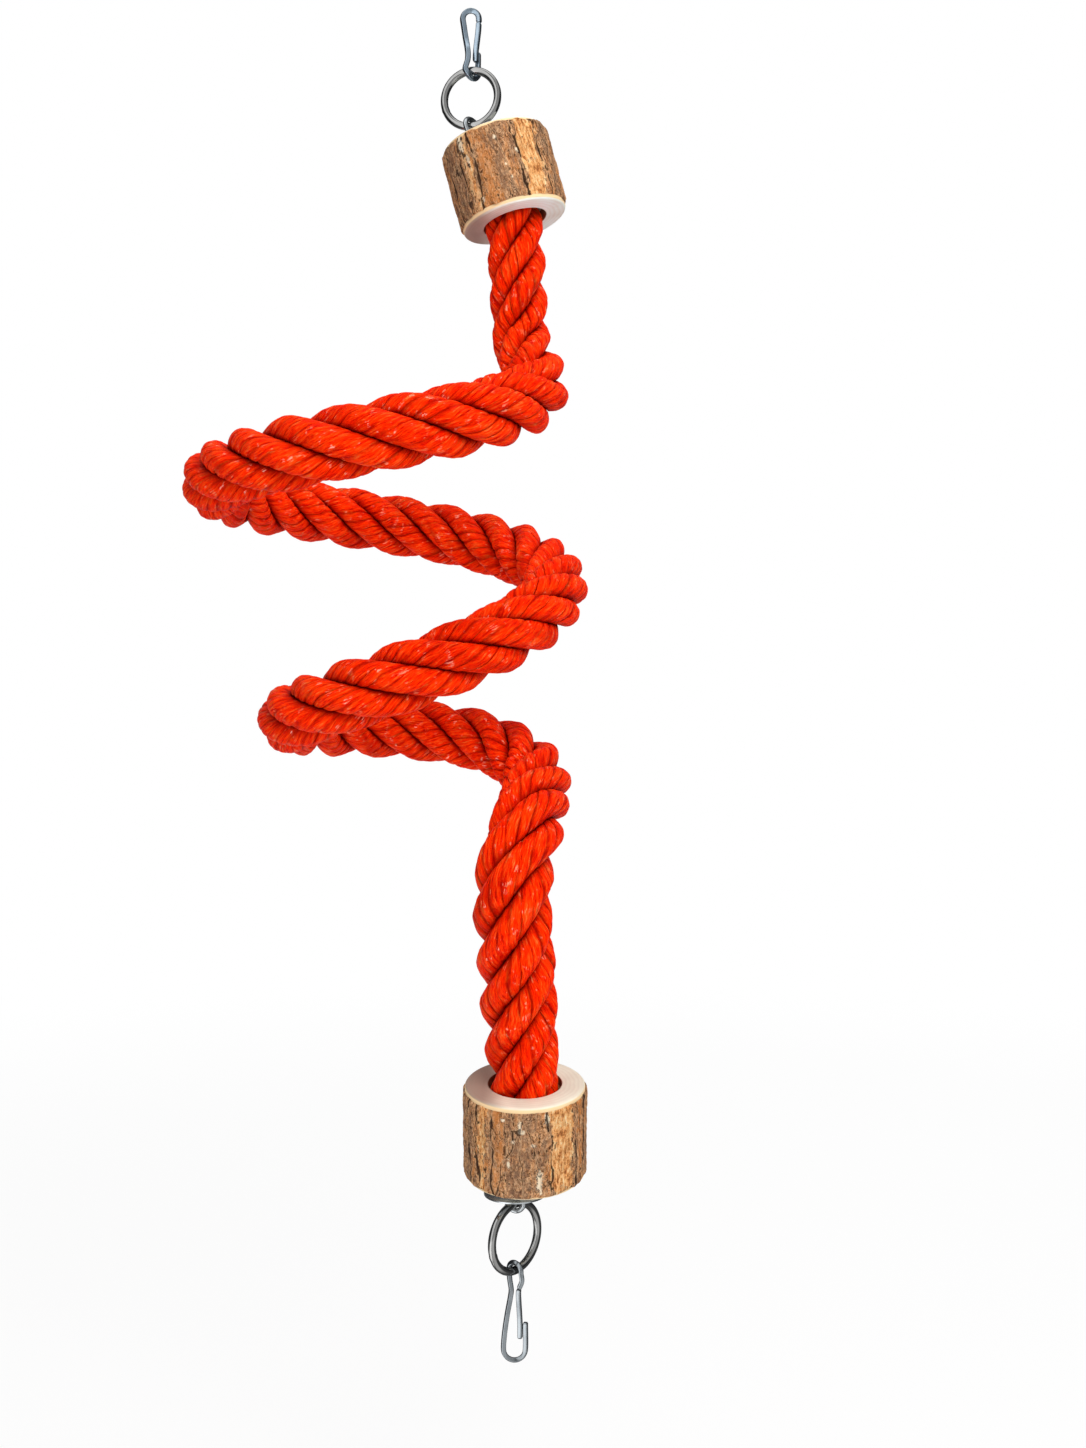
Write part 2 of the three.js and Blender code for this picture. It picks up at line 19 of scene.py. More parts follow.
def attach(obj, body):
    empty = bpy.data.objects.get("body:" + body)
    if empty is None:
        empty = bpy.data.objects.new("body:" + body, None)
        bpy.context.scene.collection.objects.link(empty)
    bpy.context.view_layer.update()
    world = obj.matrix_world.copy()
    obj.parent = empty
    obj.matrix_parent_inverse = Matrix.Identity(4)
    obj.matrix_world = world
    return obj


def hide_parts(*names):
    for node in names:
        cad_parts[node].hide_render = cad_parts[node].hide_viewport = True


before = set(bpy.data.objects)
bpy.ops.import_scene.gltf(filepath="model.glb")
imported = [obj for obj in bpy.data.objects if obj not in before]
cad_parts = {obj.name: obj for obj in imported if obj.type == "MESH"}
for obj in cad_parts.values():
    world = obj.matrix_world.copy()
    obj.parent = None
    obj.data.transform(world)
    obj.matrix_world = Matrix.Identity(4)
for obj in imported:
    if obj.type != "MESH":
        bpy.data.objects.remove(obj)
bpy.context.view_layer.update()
MM = 0.001
LOG = logging.getLogger("rope_perch")
UV_MAP = "along"

Array = np.ndarray
Material = bpy.types.Material
Piece = bpy.types.Object

# Sockets of the Mix node that take and give colours
MIX_SHARE, MIX_FIRST, MIX_SECOND, MIX_COLOUR = 0, 6, 7, 2

# Where the perch group hangs, in the part's frame
PERCH_PLACE = Vector((39.39209, -0.52552, -186.82511))


# ------------------------------------------------------------------ shader maths


def _maths(operation: str, swapped: bool = False) -> Callable[..., "Value"]:
    """Return a method of Value that adds a Math node.

    Args:
        operation: The node's operation.
        swapped: Whether the other number comes first.

    Returns:
        The method, which takes the other number if there is one.
    """

    def method(self: "Value", *others: Any) -> "Value":
        """Return the operation's result.

        Args:
            others: The other number, or none.

        Returns:
            The operation's result.
        """
        numbers = (*others, self) if swapped else (self, *others)
        made = self.shader.node("ShaderNodeMath", {"operation": operation}, dict(enumerate(numbers)))
        return Value(self.shader, made.outputs[0])

    return method


@dataclass(frozen=True)
class Value:
    """A shader number that takes part in Python expressions."""

    shader: "Shader"
    socket: Any

    __add__ = _maths("ADD")
    __radd__ = _maths("ADD", swapped=True)
    __sub__ = _maths("SUBTRACT")
    __rsub__ = _maths("SUBTRACT", swapped=True)
    __mul__ = _maths("MULTIPLY")
    most = _maths("MAXIMUM")
    fraction = _maths("FRACT")
    ping_pong = _maths("PINGPONG")

    def distance_to_whole(self) -> "Value":
        """Return how far the number is from the nearest whole number, 0 to 0.5."""
        return self.ping_pong(0.5)

    def step(self, low: float, high: float) -> "Value":
        """Return 0 below low, 1 above high and a smooth rise between, or the fall if low is higher.

        Args:
            low: Where the rise starts, or the fall ends.
            high: Where the rise ends, or the fall starts.

        Returns:
            The step.
        """
        rises = low < high
        made = self.shader.node(
            "ShaderNodeMapRange",
            {"interpolation_type": "SMOOTHSTEP", "clamp": True},
            {
                "Value": self,
                "From Min": min(low, high),
                "From Max": max(low, high),
                "To Min": 0.0 if rises else 1.0,
                "To Max": 1.0 if rises else 0.0,
            },
        )
        return Value(self.shader, made.outputs["Result"])


class Shader:
    """The node tree of a material or of the world."""

    def __init__(self, owner: Any, output: str = "ShaderNodeOutputMaterial") -> None:
        """Start the owner's tree with nothing but its output.

        Args:
            owner: A material or the world.
            output: The output node's type.
        """
        owner.use_nodes = True
        self.owner = owner
        self.tree = owner.node_tree
        self.tree.nodes.clear()
        self.out = self.tree.nodes.new(output)

    @classmethod
    def named(cls, name: str) -> "Shader":
        """Start a material."""
        return cls(bpy.data.materials.new(name))

    def node(self, kind: str, settings: dict[str, Any], inputs: dict[Any, Any]) -> Any:
        """Add one node.

        Args:
            kind: The node's type.
            settings: Its properties.
            inputs: Values or links of its sockets, by name or number.

        Returns:
            The node.
        """
        made = self.tree.nodes.new(kind)
        for key, value in settings.items():
            setattr(made, key, value)
        for key, value in inputs.items():
            socket = made.inputs[key]
            source = value.socket if isinstance(value, Value) else value
            if isinstance(source, bpy.types.NodeSocket):
                self.tree.links.new(source, socket)
            else:
                socket.default_value = (*source, 1.0) if socket.type == "RGBA" else source
        return made

    def mapped(self, point: Any, **settings: Any) -> Any:
        """Return a point scaled, then turned, then shifted."""
        return self.node("ShaderNodeMapping", {}, {"Vector": point, **settings}).outputs["Vector"]

    def object_point(self, **settings: Any) -> Any:
        """Return the point in the object's own frame, in metres, mapped as told."""
        point = self.node("ShaderNodeTexCoord", {}, {}).outputs["Object"]
        return self.mapped(point, **settings)

    def uv_point(self, scale: tuple[float, float] = (1, 1), turn: float = 0.0) -> Any:
        """Return the point in the piece's UV map, scaled after a turn in its plane."""
        point = self.node("ShaderNodeUVMap", {"uv_map": UV_MAP}, {}).outputs["UV"]
        return self.mapped(self.mapped(point, Rotation=(0.0, 0.0, turn)), Scale=(*scale, 1.0))

    def parts(self, vector: Any) -> list[Value]:
        """Return a vector's three parts."""
        made = self.node("ShaderNodeSeparateXYZ", {}, {"Vector": vector})
        return [Value(self, output) for output in made.outputs]

    def vector(self, operation: str, vector: Any, output: str) -> Any:
        """Return one output of a Vector Math node that takes one vector."""
        return self.node("ShaderNodeVectorMath", {"operation": operation}, {0: vector}).outputs[output]

    def attributes(self, *names: str) -> list[Value]:
        """Return named attributes of the piece's mesh."""
        made = [self.node("ShaderNodeAttribute", {"attribute_name": name}, {}) for name in names]
        return [Value(self, node.outputs["Fac"]) for node in made]

    def ray(self, kind: str) -> Value:
        """Return 1 for light rays of a kind, such as Camera or Glossy."""
        made = self.node("ShaderNodeLightPath", {}, {})
        return Value(self, made.outputs[f"Is {kind} Ray"])

    def noise(
        self, point: Any, scale: float, detail: float = 3.0, roughness: float = 0.55, distortion: float = 0.0
    ) -> Value:
        """Return a noise over the points, about 0 to 1.

        Args:
            point: Where it is taken.
            scale: Its cells in a unit of length.
            detail: How many finer layers it has.
            roughness: How strong they are.
            distortion: How far it is warped.

        Returns:
            The noise.
        """
        inputs = {"Vector": point, "Scale": scale, "Detail": detail}
        inputs |= {"Roughness": roughness, "Distortion": distortion}
        made = self.node("ShaderNodeTexNoise", {"noise_dimensions": "3D"}, inputs)
        return Value(self, made.outputs["Fac"])

    def ramp(self, share: Any, *stops: Sequence[float]) -> Any:
        """Return the colour of a ramp at a share; each stop is a place and a screen colour.

        Args:
            share: The place on the ramp.
            stops: Each a place and a screen colour.

        Returns:
            The colour's socket.
        """
        made = self.node("ShaderNodeValToRGB", {}, {"Fac": share})
        elements = made.color_ramp.elements
        while len(elements) < len(stops):
            elements.new(1.0)
        for element, (place, *colour) in zip(elements, stops):
            element.position = place
            element.color = (*tone(*colour), 1.0)
        return made.outputs["Color"]

    def mix(self, share: Any, first: Any, second: Any) -> Any:
        """Return a mix of two colours.

        Args:
            share: How much of the second is taken.
            first: A colour or a colour socket.
            second: A colour or a colour socket.

        Returns:
            The mixed colour's socket.
        """
        inputs = {MIX_SHARE: share, MIX_FIRST: first, MIX_SECOND: second}
        return self.node("ShaderNodeMix", {"data_type": "RGBA"}, inputs).outputs[MIX_COLOUR]

    def coated(self, base: Any, *coats: tuple[Any, Sequence[float]]) -> Any:
        """Return a colour under coats, each a share and a screen colour, laid one after another.

        Args:
            base: A colour or a colour socket.
            coats: Each a share and a screen colour.

        Returns:
            The colour's socket.
        """
        for share, colour in coats:
            base = self.mix(share, base, tone(*colour))
        return base

    def bump(self, height: Value, distance: float, strength: float = 1.0) -> Any:
        """Return the normal bent by a height of the given reach in metres."""
        inputs = {"Height": height, "Distance": distance, "Strength": strength}
        return self.node("ShaderNodeBump", {}, inputs).outputs["Normal"]

    def close(self, last: Any) -> Any:
        """Link the last node to the output, and return the tree's owner."""
        self.tree.links.new(last.outputs[0], self.out.inputs["Surface"])
        return self.owner

    def finish(self, **sockets: Any) -> Material:
        """Close the material with a Principled shader.

        Args:
            sockets: Its inputs, with underscores for spaces.

        Returns:
            The material.
        """
        named = {key.replace("_", " "): value for key, value in sockets.items()}
        return self.close(self.node("ShaderNodeBsdfPrincipled", {}, named))


def tone(red: int, green: int, blue: int) -> tuple[float, float, float]:
    """Return a screen colour of 0 to 255 as linear light.

    Args:
        red: Red on the screen.
        green: Green on the screen.
        blue: Blue on the screen.

    Returns:
        The three parts of the light.
    """

    def linear(part: int) -> float:
        """Return one channel as linear light."""
        share = part / 255
        return share / 12.92 if share <= 0.04045 else ((share + 0.055) / 1.055) ** 2.4

    return linear(red), linear(green), linear(blue)


# ---------------------------------------------------------------------- finishes


@dataclass(frozen=True)
class MetalFinish:
    """Plated or plain metal with fine wear and drawn streaks."""

    name: str
    bright: tuple[float, float, float]
    dull: tuple[float, float, float]
    roughness: float
    wear: float
    grain_mm: float = 0.8

    def make(self) -> Material:
        """Return the material.

        Returns:
            The material.
        """
        shader = Shader.named(self.name)
        point = shader.object_point()
        cloud = shader.noise(point, 60.0, 4.0)
        speck = shader.noise(point, 1000.0 / self.grain_mm, 2.0)
        stain = shader.noise(point, 220.0, 5.0, 0.7).step(0.52, 0.72)
        colour = shader.mix(cloud.step(0.35, 0.7) * 0.6 + stain * 0.4, self.bright, self.dull)
        rough = (cloud - 0.5) * self.wear + (speck - 0.5) * self.wear * 0.3 + stain * self.wear * 0.4
        normal = shader.bump(cloud, self.wear * 0.0001)
        return shader.finish(
            Base_Color=colour, Metallic=1.0, Roughness=rough + self.roughness, Normal=normal
        )


@dataclass(frozen=True)
class RopeFinish:
    """Silky laid fibre: painted shade in the creases between strands and in the grooves between plies, fine
    fibres across them.
    """

    name: str = "orange_red_rope"

    def make(self) -> Material:
        """Return the material.

        Returns:
            The material.
        """
        shader = Shader.named(self.name)
        crease, ply, shade, turned_in_shade = shader.attributes("crease", "ply", "shade", "turned_in_shade")
        fibres = shader.noise(shader.uv_point((0.5, 0.026)), 1.0, 4.0, 0.75)
        hairs = shader.noise(shader.uv_point((1.1, 0.05), 0.1), 1.0, 2.0, 0.65)
        cloud = shader.noise(shader.object_point(), 30.0)
        body = shader.ramp(
            fibres * 0.6 + hairs * 0.3 + cloud * 0.1,
            (0.39, 196, 8, 0), (0.46, 240, 30, 0), (0.51, 255, 48, 0),
            (0.57, 255, 74, 14), (0.63, 255, 116, 54),
        )
        lines = (fibres * 3.0).distance_to_whole().step(0.07, 0.02) * cloud.step(0.35, 0.55)
        # Painted shade: darker red in the creases between strands and the grooves between plies, with the
        # fibres' own thin dark lines.
        groove_shade_and_fibre_lines = (crease * 0.85).most(ply * 0.9).most(lines * 0.3)
        clusters = shader.noise(shader.uv_point((0.13, 0.06)), 1.0, 2.0, 0.6)
        glint = clusters.step(0.58, 0.65) * hairs.step(0.5, 0.57) * (1 - crease.most(ply))
        colour = shader.coated(
            body,
            # Painted shade where a strand turns in towards the rope's middle, over random darker stretches
            # along the rope.
            (shade.most(turned_in_shade * 0.5), (176, 6, 0)),
            (groove_shade_and_fibre_lines, (126, 0, 0)),
            (glint * 0.6, (255, 140, 92)),
        )
        height = fibres + hairs * 0.35 - lines * 0.15
        return shader.finish(
            Base_Color=colour,
            Roughness=0.5 - fibres * 0.15,
            Coat_Weight=glint * 0.6,
            Coat_Roughness=0.16,
            Coat_IOR=2.4,
            Normal=shader.bump(height, 0.0014, 0.95),
            Specular_IOR_Level=0.06,
            Specular_Tint=(1.0, 0.42, 0.2),
        )


@dataclass(frozen=True)
class EndGrainFinish:
    """Sanded end grain: faint growth rings and pores, darker in the bore, and painted shade left of the
    middle.

    The middle is where the block's mouth stands along X, in metres.
    """

    name: str
    face: tuple[float, float, float]
    middle: float

    def make(self) -> Material:
        """Return the material.

        Returns:
            The material.
        """
        shader = Shader.named(self.name)
        point = shader.object_point()
        across, edge, inside = shader.attributes("from_axis", "sapwood", "bore")
        wobble = shader.noise(point, 30.0)
        rings = (across * 260.0 + wobble * 1.6).distance_to_whole() * 2.0
        pores = shader.noise(point, 900.0, 3.0, 0.7)
        cloud = shader.noise(point, 22.0)
        side, _, _ = shader.parts(point)
        # Painted shade: the face darkens left of the mouth's middle, where the rope's shadow falls.
        left_shade = (side * -1 + self.middle + (wobble - 0.5) * 0.012).step(0.012, 0.038)
        colour = shader.coated(
            self.face,
            (rings.step(0.2, 0.9) * 0.2 + cloud.step(0.3, 0.7) * 0.5, (214, 200, 180)),
            (left_shade * 0.95, (160, 134, 118)),
            (edge, (236, 204, 156)),
            (inside, (126, 74, 46)),
            (pores.step(0.66, 0.8) * 0.35, (150, 112, 84)),
        )
        return shader.finish(
            Base_Color=colour,
            Roughness=0.36 + pores * 0.2 + edge * 0.3,
            Normal=shader.bump(pores + rings * 0.3, 0.00012),
        )


@dataclass(frozen=True)
class BarkFinish:
    """Furrowed bark in plates, strips of bared inner bark, cracks with painted highlights beside them, and
    pale chips.
    """

    name: str = "furrowed_bark"

    def make(self) -> Material:
        """Return the material.

        Returns:
            The material.
        """
        shader = Shader.named(self.name)
        along = shader.uv_point((1.0, 0.26))
        even = shader.uv_point((1.0, 0.8))
        strip, crack, chip, warmth = shader.attributes("strip", "crack", "chip", "warmth")
        streaks = shader.noise(along, 0.34, 6.0, 0.75, 0.5)
        fine = shader.noise(even, 0.42, 6.0, 0.82, 0.8)
        flakes = shader.noise(shader.uv_point((1.0, 0.5)), 0.11, 4.0, 0.7, 1.2)
        blots_mask = shader.noise(even, 0.12, 2.0).step(0.4, 0.52)
        terrace = (flakes * 5.0).fraction()
        outline = terrace.step(0.2, 0.03) * blots_mask
        curl = terrace.step(0.2, 0.28) * terrace.step(0.52, 0.36) * blots_mask * (1 - strip)
        blots = shader.noise(even, 0.2, 4.0, 0.6, 0.8)
        patches = shader.noise(shader.uv_point((1.0, 0.25)), 0.1, 3.0, 0.6, 0.7)
        plate = shader.ramp(
            streaks * 0.5 + fine * 0.5,
            (0.42, 48, 28, 17), (0.455, 120, 76, 48), (0.495, 190, 132, 87),
            (0.545, 222, 163, 110), (0.605, 246, 210, 168),
        )
        cool = warmth.step(0.5, 0.1)
        rust = (warmth.step(0.5, 1.0) * blots.step(0.3, 0.6)).most(patches.step(0.53, 0.63) * (1 - cool))
        ash = patches.step(0.47, 0.38).most(cool * blots.step(0.3, 0.55))
        aged = shader.coated(
            plate,
            (rust * 0.7, (216, 134, 66)),
            (ash * 0.6, (128, 97, 77)),
            (blots.step(0.54, 0.66) * 0.35, (138, 110, 90)),
        )
        bared = shader.ramp(
            streaks * 0.6 + fine * 0.4,
            (0.415, 140, 76, 36), (0.46, 212, 136, 74), (0.505, 244, 172, 103),
            (0.56, 255, 210, 148), (0.63, 255, 238, 200),
        )
        speck = fine.step(0.4, 0.35) * blots.step(0.35, 0.6) * (1 - strip * 0.8)
        lined = speck.most(outline * (1 - strip * 0.8)) * 0.8
        # Painted highlight: a pale edge beside each crack, with pale curl marks on the flakes.
        lip = (crack.step(0.03, 0.2) * crack.step(0.55, 0.3)).most(curl)
        colour = shader.coated(
            shader.mix(strip, aged, bared),
            (chip, (252, 234, 204)),
            (lined, (46, 30, 21)),
            # Painted highlight beside the cracks, and pale curl marks
            (lip * 0.38, (240, 196, 150)),
            (crack.step(0.2, 0.85) * 0.92, (48, 29, 18)),
        )
        height = streaks * 0.5 + fine * 0.7 + terrace * blots_mask * 0.5
        return shader.finish(
            Base_Color=colour,
            Roughness=0.9 - strip * 0.12,
            Normal=shader.bump(height, 0.0026),
            Specular_IOR_Level=0.25,
        )


@dataclass(frozen=True)
class GlueFinish:
    """Set amber glue with a wavy top."""

    name: str = "amber_glue"

    def make(self) -> Material:
        """Return the material.

        Returns:
            The material.
        """
        shader = Shader.named(self.name)
        point = shader.object_point()
        cloud = shader.noise(point, 90.0)
        colour = shader.mix(cloud.step(0.3, 0.7), tone(214, 178, 110), tone(176, 132, 66))
        return shader.finish(
            Base_Color=colour,
            Roughness=0.22 + cloud * 0.15,
            Normal=shader.bump(cloud, 0.0006),
        )


@dataclass(frozen=True)
class TapeFinish:
    """Plain woven cloth tape."""

    name: str = "cloth_end_tape"

    def make(self) -> Material:
        """Return the material.

        Returns:
            The material.
        """
        shader = Shader.named(self.name)
        point = shader.uv_point()
        across, along, _ = shader.parts(point)
        warp, weft = ((part * 1.25).distance_to_whole() * 2.0 for part in (across, along))
        weave = warp * weft
        dirt = shader.noise(point, 0.2)
        pale = shader.mix(weave, tone(186, 176, 160), tone(228, 222, 208))
        return shader.finish(
            Base_Color=shader.mix(dirt.step(0.45, 0.75) * 0.4, pale, tone(170, 140, 112)),
            Roughness=0.85,
            Normal=shader.bump(weave, 0.0003),
        )


# ----------------------------------------------------------------------- drawing


class Grain:
    """Seeded value noise on a plane that may repeat across."""

    SIZE = 256

    def __init__(self, seed: int) -> None:
        """Draw the lattice."""
        self.lattice = np.random.default_rng(seed).random((self.SIZE, self.SIZE))

    def at(self, across: Any, along: Any, period: Optional[int] = None) -> Any:
        """Return the noise, 0 to 1.

        Args:
            across: Numbers or arrays of places across, one lattice step a unit.
            along: Places along.
            period: Lattice steps across after which the noise repeats.

        Returns:
            Values at the places.
        """
        column = np.floor(across).astype(int)
        row = np.floor(along).astype(int)
        u = across - column
        v = along - row
        u = u * u * (3 - 2 * u)
        v = v * v * (3 - 2 * v)
        wrap = period or self.SIZE
        left, right = column % wrap % self.SIZE, (column + 1) % wrap % self.SIZE
        low, high = row % self.SIZE, (row + 1) % self.SIZE
        grid = self.lattice
        lower = grid[left, low] * (1 - u) + grid[right, low] * u
        upper = grid[left, high] * (1 - u) + grid[right, high] * u
        return lower * (1 - v) + upper * v

    def rough(self, across: Any, along: Any, layers: int, period: Optional[int] = None) -> Array:
        """Return layered noise, 0 to 1, each layer twice as fine and half as strong.

        Args:
            across: Places across, one lattice step a unit.
            along: Places along.
            layers: How many layers it has.
            period: Lattice steps across after which the first layer repeats.

        Returns:
            Values at the places.
        """
        total = np.zeros(np.broadcast(across, along).shape)
        weight = 0.0
        for layer in range(layers):
            scale = 2**layer
            part = 0.5**layer
            wrap = period * scale if period else None
            total += part * self.at(across * scale, along * scale + 17.3 * layer, wrap)
            weight += part
        return total / weight


def smooth_step(values: Array, low: float, high: float) -> Array:
    """Return 0 at low, 1 at high and a smooth rise between."""
    share = np.clip((values - low) / (high - low), 0, 1)
    return share * share * (3 - 2 * share)


def off_middle(angle: Array, middle: Any) -> Array:
    """Return how far angles in degrees are from a middle, -180 to 180."""
    return (angle - middle + 180) % 360 - 180


def turned(degrees: float, axis: str) -> Matrix:
    """Return a turn about an axis."""
    return Matrix.Rotation(math.radians(degrees), 4, axis)


def metres(place: Matrix) -> Matrix:
    """Return a frame in millimetres as one in metres.

    Args:
        place: The frame in millimetres.

    Returns:
        The frame in metres.
    """
    found = place.copy()
    found.translation = found.translation * MM
    return found


def vectors(*rows: Sequence[float]) -> list[Vector]:
    """Return rows of three numbers as vectors."""
    return [Vector(row) for row in rows]


class Bench:
    """Modelling by operators, as by hand."""

    @staticmethod
    def clear() -> None:
        """Leave edit mode and deselect everything."""
        if bpy.context.object and bpy.context.object.mode != "OBJECT":
            bpy.ops.object.mode_set(mode="OBJECT")
        bpy.ops.object.select_all(action="DESELECT")

    @staticmethod
    def named(name: str) -> Piece:
        """Name the object just added and its mesh, and leave the object at the origin.

        Args:
            name: Its name.

        Returns:
            The piece.
        """
        made = bpy.context.object
        made.name = name
        made.data.name = name
        Bench.settle(made, Matrix.Identity(4))
        return made

    @staticmethod
    def cylinder(
        name: str, vertices: int, radius: float, low: float, high: float, ends: str = "NGON"
    ) -> Piece:
        """Add a cylinder on the Z axis, its sizes in millimetres, with or without ends.

        Args:
            name: The piece's name.
            vertices: Its corners round the axis.
            radius: Its radius.
            low: Where it starts.
            high: Where it ends.
            ends: How its ends are filled.

        Returns:
            The piece.
        """
        Bench.clear()
        bpy.ops.mesh.primitive_cylinder_add(
            vertices=vertices,
            radius=radius * MM,
            depth=(high - low) * MM,
            end_fill_type=ends,
            location=(0, 0, (low + high) / 2 * MM),
        )
        return Bench.named(name)

    @staticmethod
    def disc(name: str, radius: float, height: float) -> Piece:
        """Add a flat disc across the Z axis, its sizes in millimetres.

        Args:
            name: The piece's name.
            radius: Its radius.
            height: Where it lies.

        Returns:
            The piece.
        """
        Bench.clear()
        bpy.ops.mesh.primitive_circle_add(
            vertices=96, radius=radius * MM, fill_type="NGON", location=(0, 0, height * MM)
        )
        return Bench.named(name)

    @staticmethod
    def pick(piece: Piece) -> None:
        """Select the piece alone and make it active.

        Args:
            piece: The piece.
        """
        Bench.clear()
        piece.select_set(True)
        bpy.context.view_layer.objects.active = piece

    @staticmethod
    def edit(piece: Piece) -> None:
        """Enter the piece's edit mode with everything selected.

        Args:
            piece: The piece.
        """
        Bench.pick(piece)
        bpy.ops.object.mode_set(mode="EDIT")
        bpy.ops.mesh.select_all(action="SELECT")

    @staticmethod
    def select(piece: Piece, mode: str, test: Callable[[Any], bool]) -> None:
        """In edit mode, select just the faces or edges that pass the test.

        Args:
            piece: The piece.
            mode: FACE or EDGE.
            test: What a face or an edge has to pass.
        """
        bpy.ops.mesh.select_mode(type=mode)
        bpy.ops.mesh.select_all(action="DESELECT")
        shape = bmesh.from_edit_mesh(piece.data)
        for part in shape.faces if mode == "FACE" else shape.edges:
            part.select = test(part)
        if mode == "FACE":
            shape.select_flush(True)
        bmesh.update_edit_mesh(piece.data)

    @staticmethod
    def select_open_edges() -> None:
        """In edit mode, select just the edges where the skin is open."""
        bpy.ops.mesh.select_all(action="DESELECT")
        bpy.ops.mesh.select_mode(type="EDGE")
        bpy.ops.mesh.select_non_manifold()

    @staticmethod
    def turn_outwards() -> None:
        """In edit mode, turn every face outwards, and leave edit mode."""
        bpy.ops.mesh.select_all(action="SELECT")
        bpy.ops.mesh.normals_make_consistent(inside=False)
        bpy.ops.object.mode_set(mode="OBJECT")

    @staticmethod
    def thicken(piece: Piece, wall: float, edge: float = 0.0) -> None:
        """Give a skin a wall outwards and rounded edges, both in millimetres.

        Args:
            piece: The skin.
            wall: The wall's thickness.
            edge: The edges' rounding, or 0.
        """
        solid = piece.modifiers.new("wall", "SOLIDIFY")
        solid.thickness = wall * MM
        solid.offset = 1.0
        if edge:
            bevel = piece.modifiers.new("edge", "BEVEL")
            bevel.width = edge * MM
            bevel.segments = 3
            bevel.limit_method = "ANGLE"
        Bench.apply_modifiers(piece)

    @staticmethod
    def apply_modifiers(piece: Piece) -> None:
        """Apply the piece's modifiers in their order.

        Args:
            piece: The piece.
        """
        Bench.pick(piece)
        for modifier in list(piece.modifiers):
            bpy.ops.object.modifier_apply(modifier=modifier.name)

    @staticmethod
    def settle(piece: Piece, place: Matrix) -> None:
        """Move the mesh to its place in metres, and leave the object at the origin.

        Args:
            piece: The piece.
            place: Its place.
        """
        piece.data.transform(place @ piece.matrix_world)
        piece.matrix_world = Matrix.Identity(4)
        piece.data.update()

    @staticmethod
    def smooth(piece: Piece, degrees: float, place: Optional[Matrix] = None) -> None:
        """Shade the piece smooth but for edges sharper than the angle, and settle it at its place.

        Args:
            piece: The piece.
            degrees: The angle.
            place: Its place in metres, if it is not there yet.
        """
        if place is not None:
            Bench.settle(piece, place)
        Bench.pick(piece)
        bpy.ops.object.shade_smooth_by_angle(angle=math.radians(degrees))
        Bench.clear()

    @staticmethod
    def swept(name: str, points: Array, columns: int) -> Piece:
        """Make a mesh object of quads between rings of points.

        Args:
            name: The piece's name.
            points: Its points in millimetres, ring by ring, and any single points after them.
            columns: Points in a ring.

        Returns:
            The piece, open at both ends.
        """
        rings = len(points) // columns
        index = np.arange(rings * columns).reshape(rings, columns)
        right = np.roll(index, -1, axis=1)
        faces = np.stack([index[:-1], right[:-1], right[1:], index[1:]], axis=-1)
        mesh = bpy.data.meshes.new(name)
        mesh.from_pydata((points * MM).tolist(), [], faces.reshape(-1, 4).tolist())
        mesh.update()
        piece = bpy.data.objects.new(name, mesh)
        bpy.context.scene.collection.objects.link(piece)
        return piece

    @staticmethod
    def cap(piece: Piece) -> None:
        """Close a tube's two ends.

        Args:
            piece: The piece.
        """
        Bench.edit(piece)
        Bench.select_open_edges()
        bpy.ops.mesh.edge_face_add()
        Bench.turn_outwards()

    @staticmethod
    def coordinates(piece: Piece) -> Array:
        """Return the mesh's points, a row each, in metres.

        Args:
            piece: The piece.

        Returns:
            The points.
        """
        flat = np.empty(len(piece.data.vertices) * 3)
        piece.data.vertices.foreach_get("co", flat)
        return flat.reshape(-1, 3)

    @staticmethod
    def corners(piece: Piece) -> Array:
        """Return the point's number at each face corner.

        Args:
            piece: The piece.

        Returns:
            The numbers.
        """
        found = np.empty(len(piece.data.loops), int)
        piece.data.loops.foreach_get("vertex_index", found)
        return found

    @staticmethod
    def unwrap(piece: Piece, across: Array, along: Array) -> None:
        """Lay the UV map, in millimetres, from the two places of each face corner.

        Args:
            piece: The piece.
            across: The first place.
            along: The second place.
        """
        layers = piece.data.uv_layers
        while layers:
            layers.remove(layers[0])
        flat = np.stack([across, along], axis=1)
        layers.new(name=UV_MAP).data.foreach_set("uv", flat.astype(np.float32).ravel())

    @staticmethod
    def store(piece: Piece, name: str, values: Array) -> None:
        """Store a number for each vertex as an attribute."""
        attribute = piece.data.attributes.new(name, "FLOAT", "POINT")
        attribute.data.foreach_set("value", np.ascontiguousarray(values, dtype=np.float32))


def dress(piece: Piece, material: Material, body: str) -> None:
    """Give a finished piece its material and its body.

    Args:
        piece: The piece.
        material: Its finish.
        body: The body that it rides on.
    """
    piece.data.materials.clear()
    piece.data.materials.append(material)
    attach(piece, body)
    LOG.info("%s rides on %s", piece.name, body)


# ------------------------------------------------------------------------- route


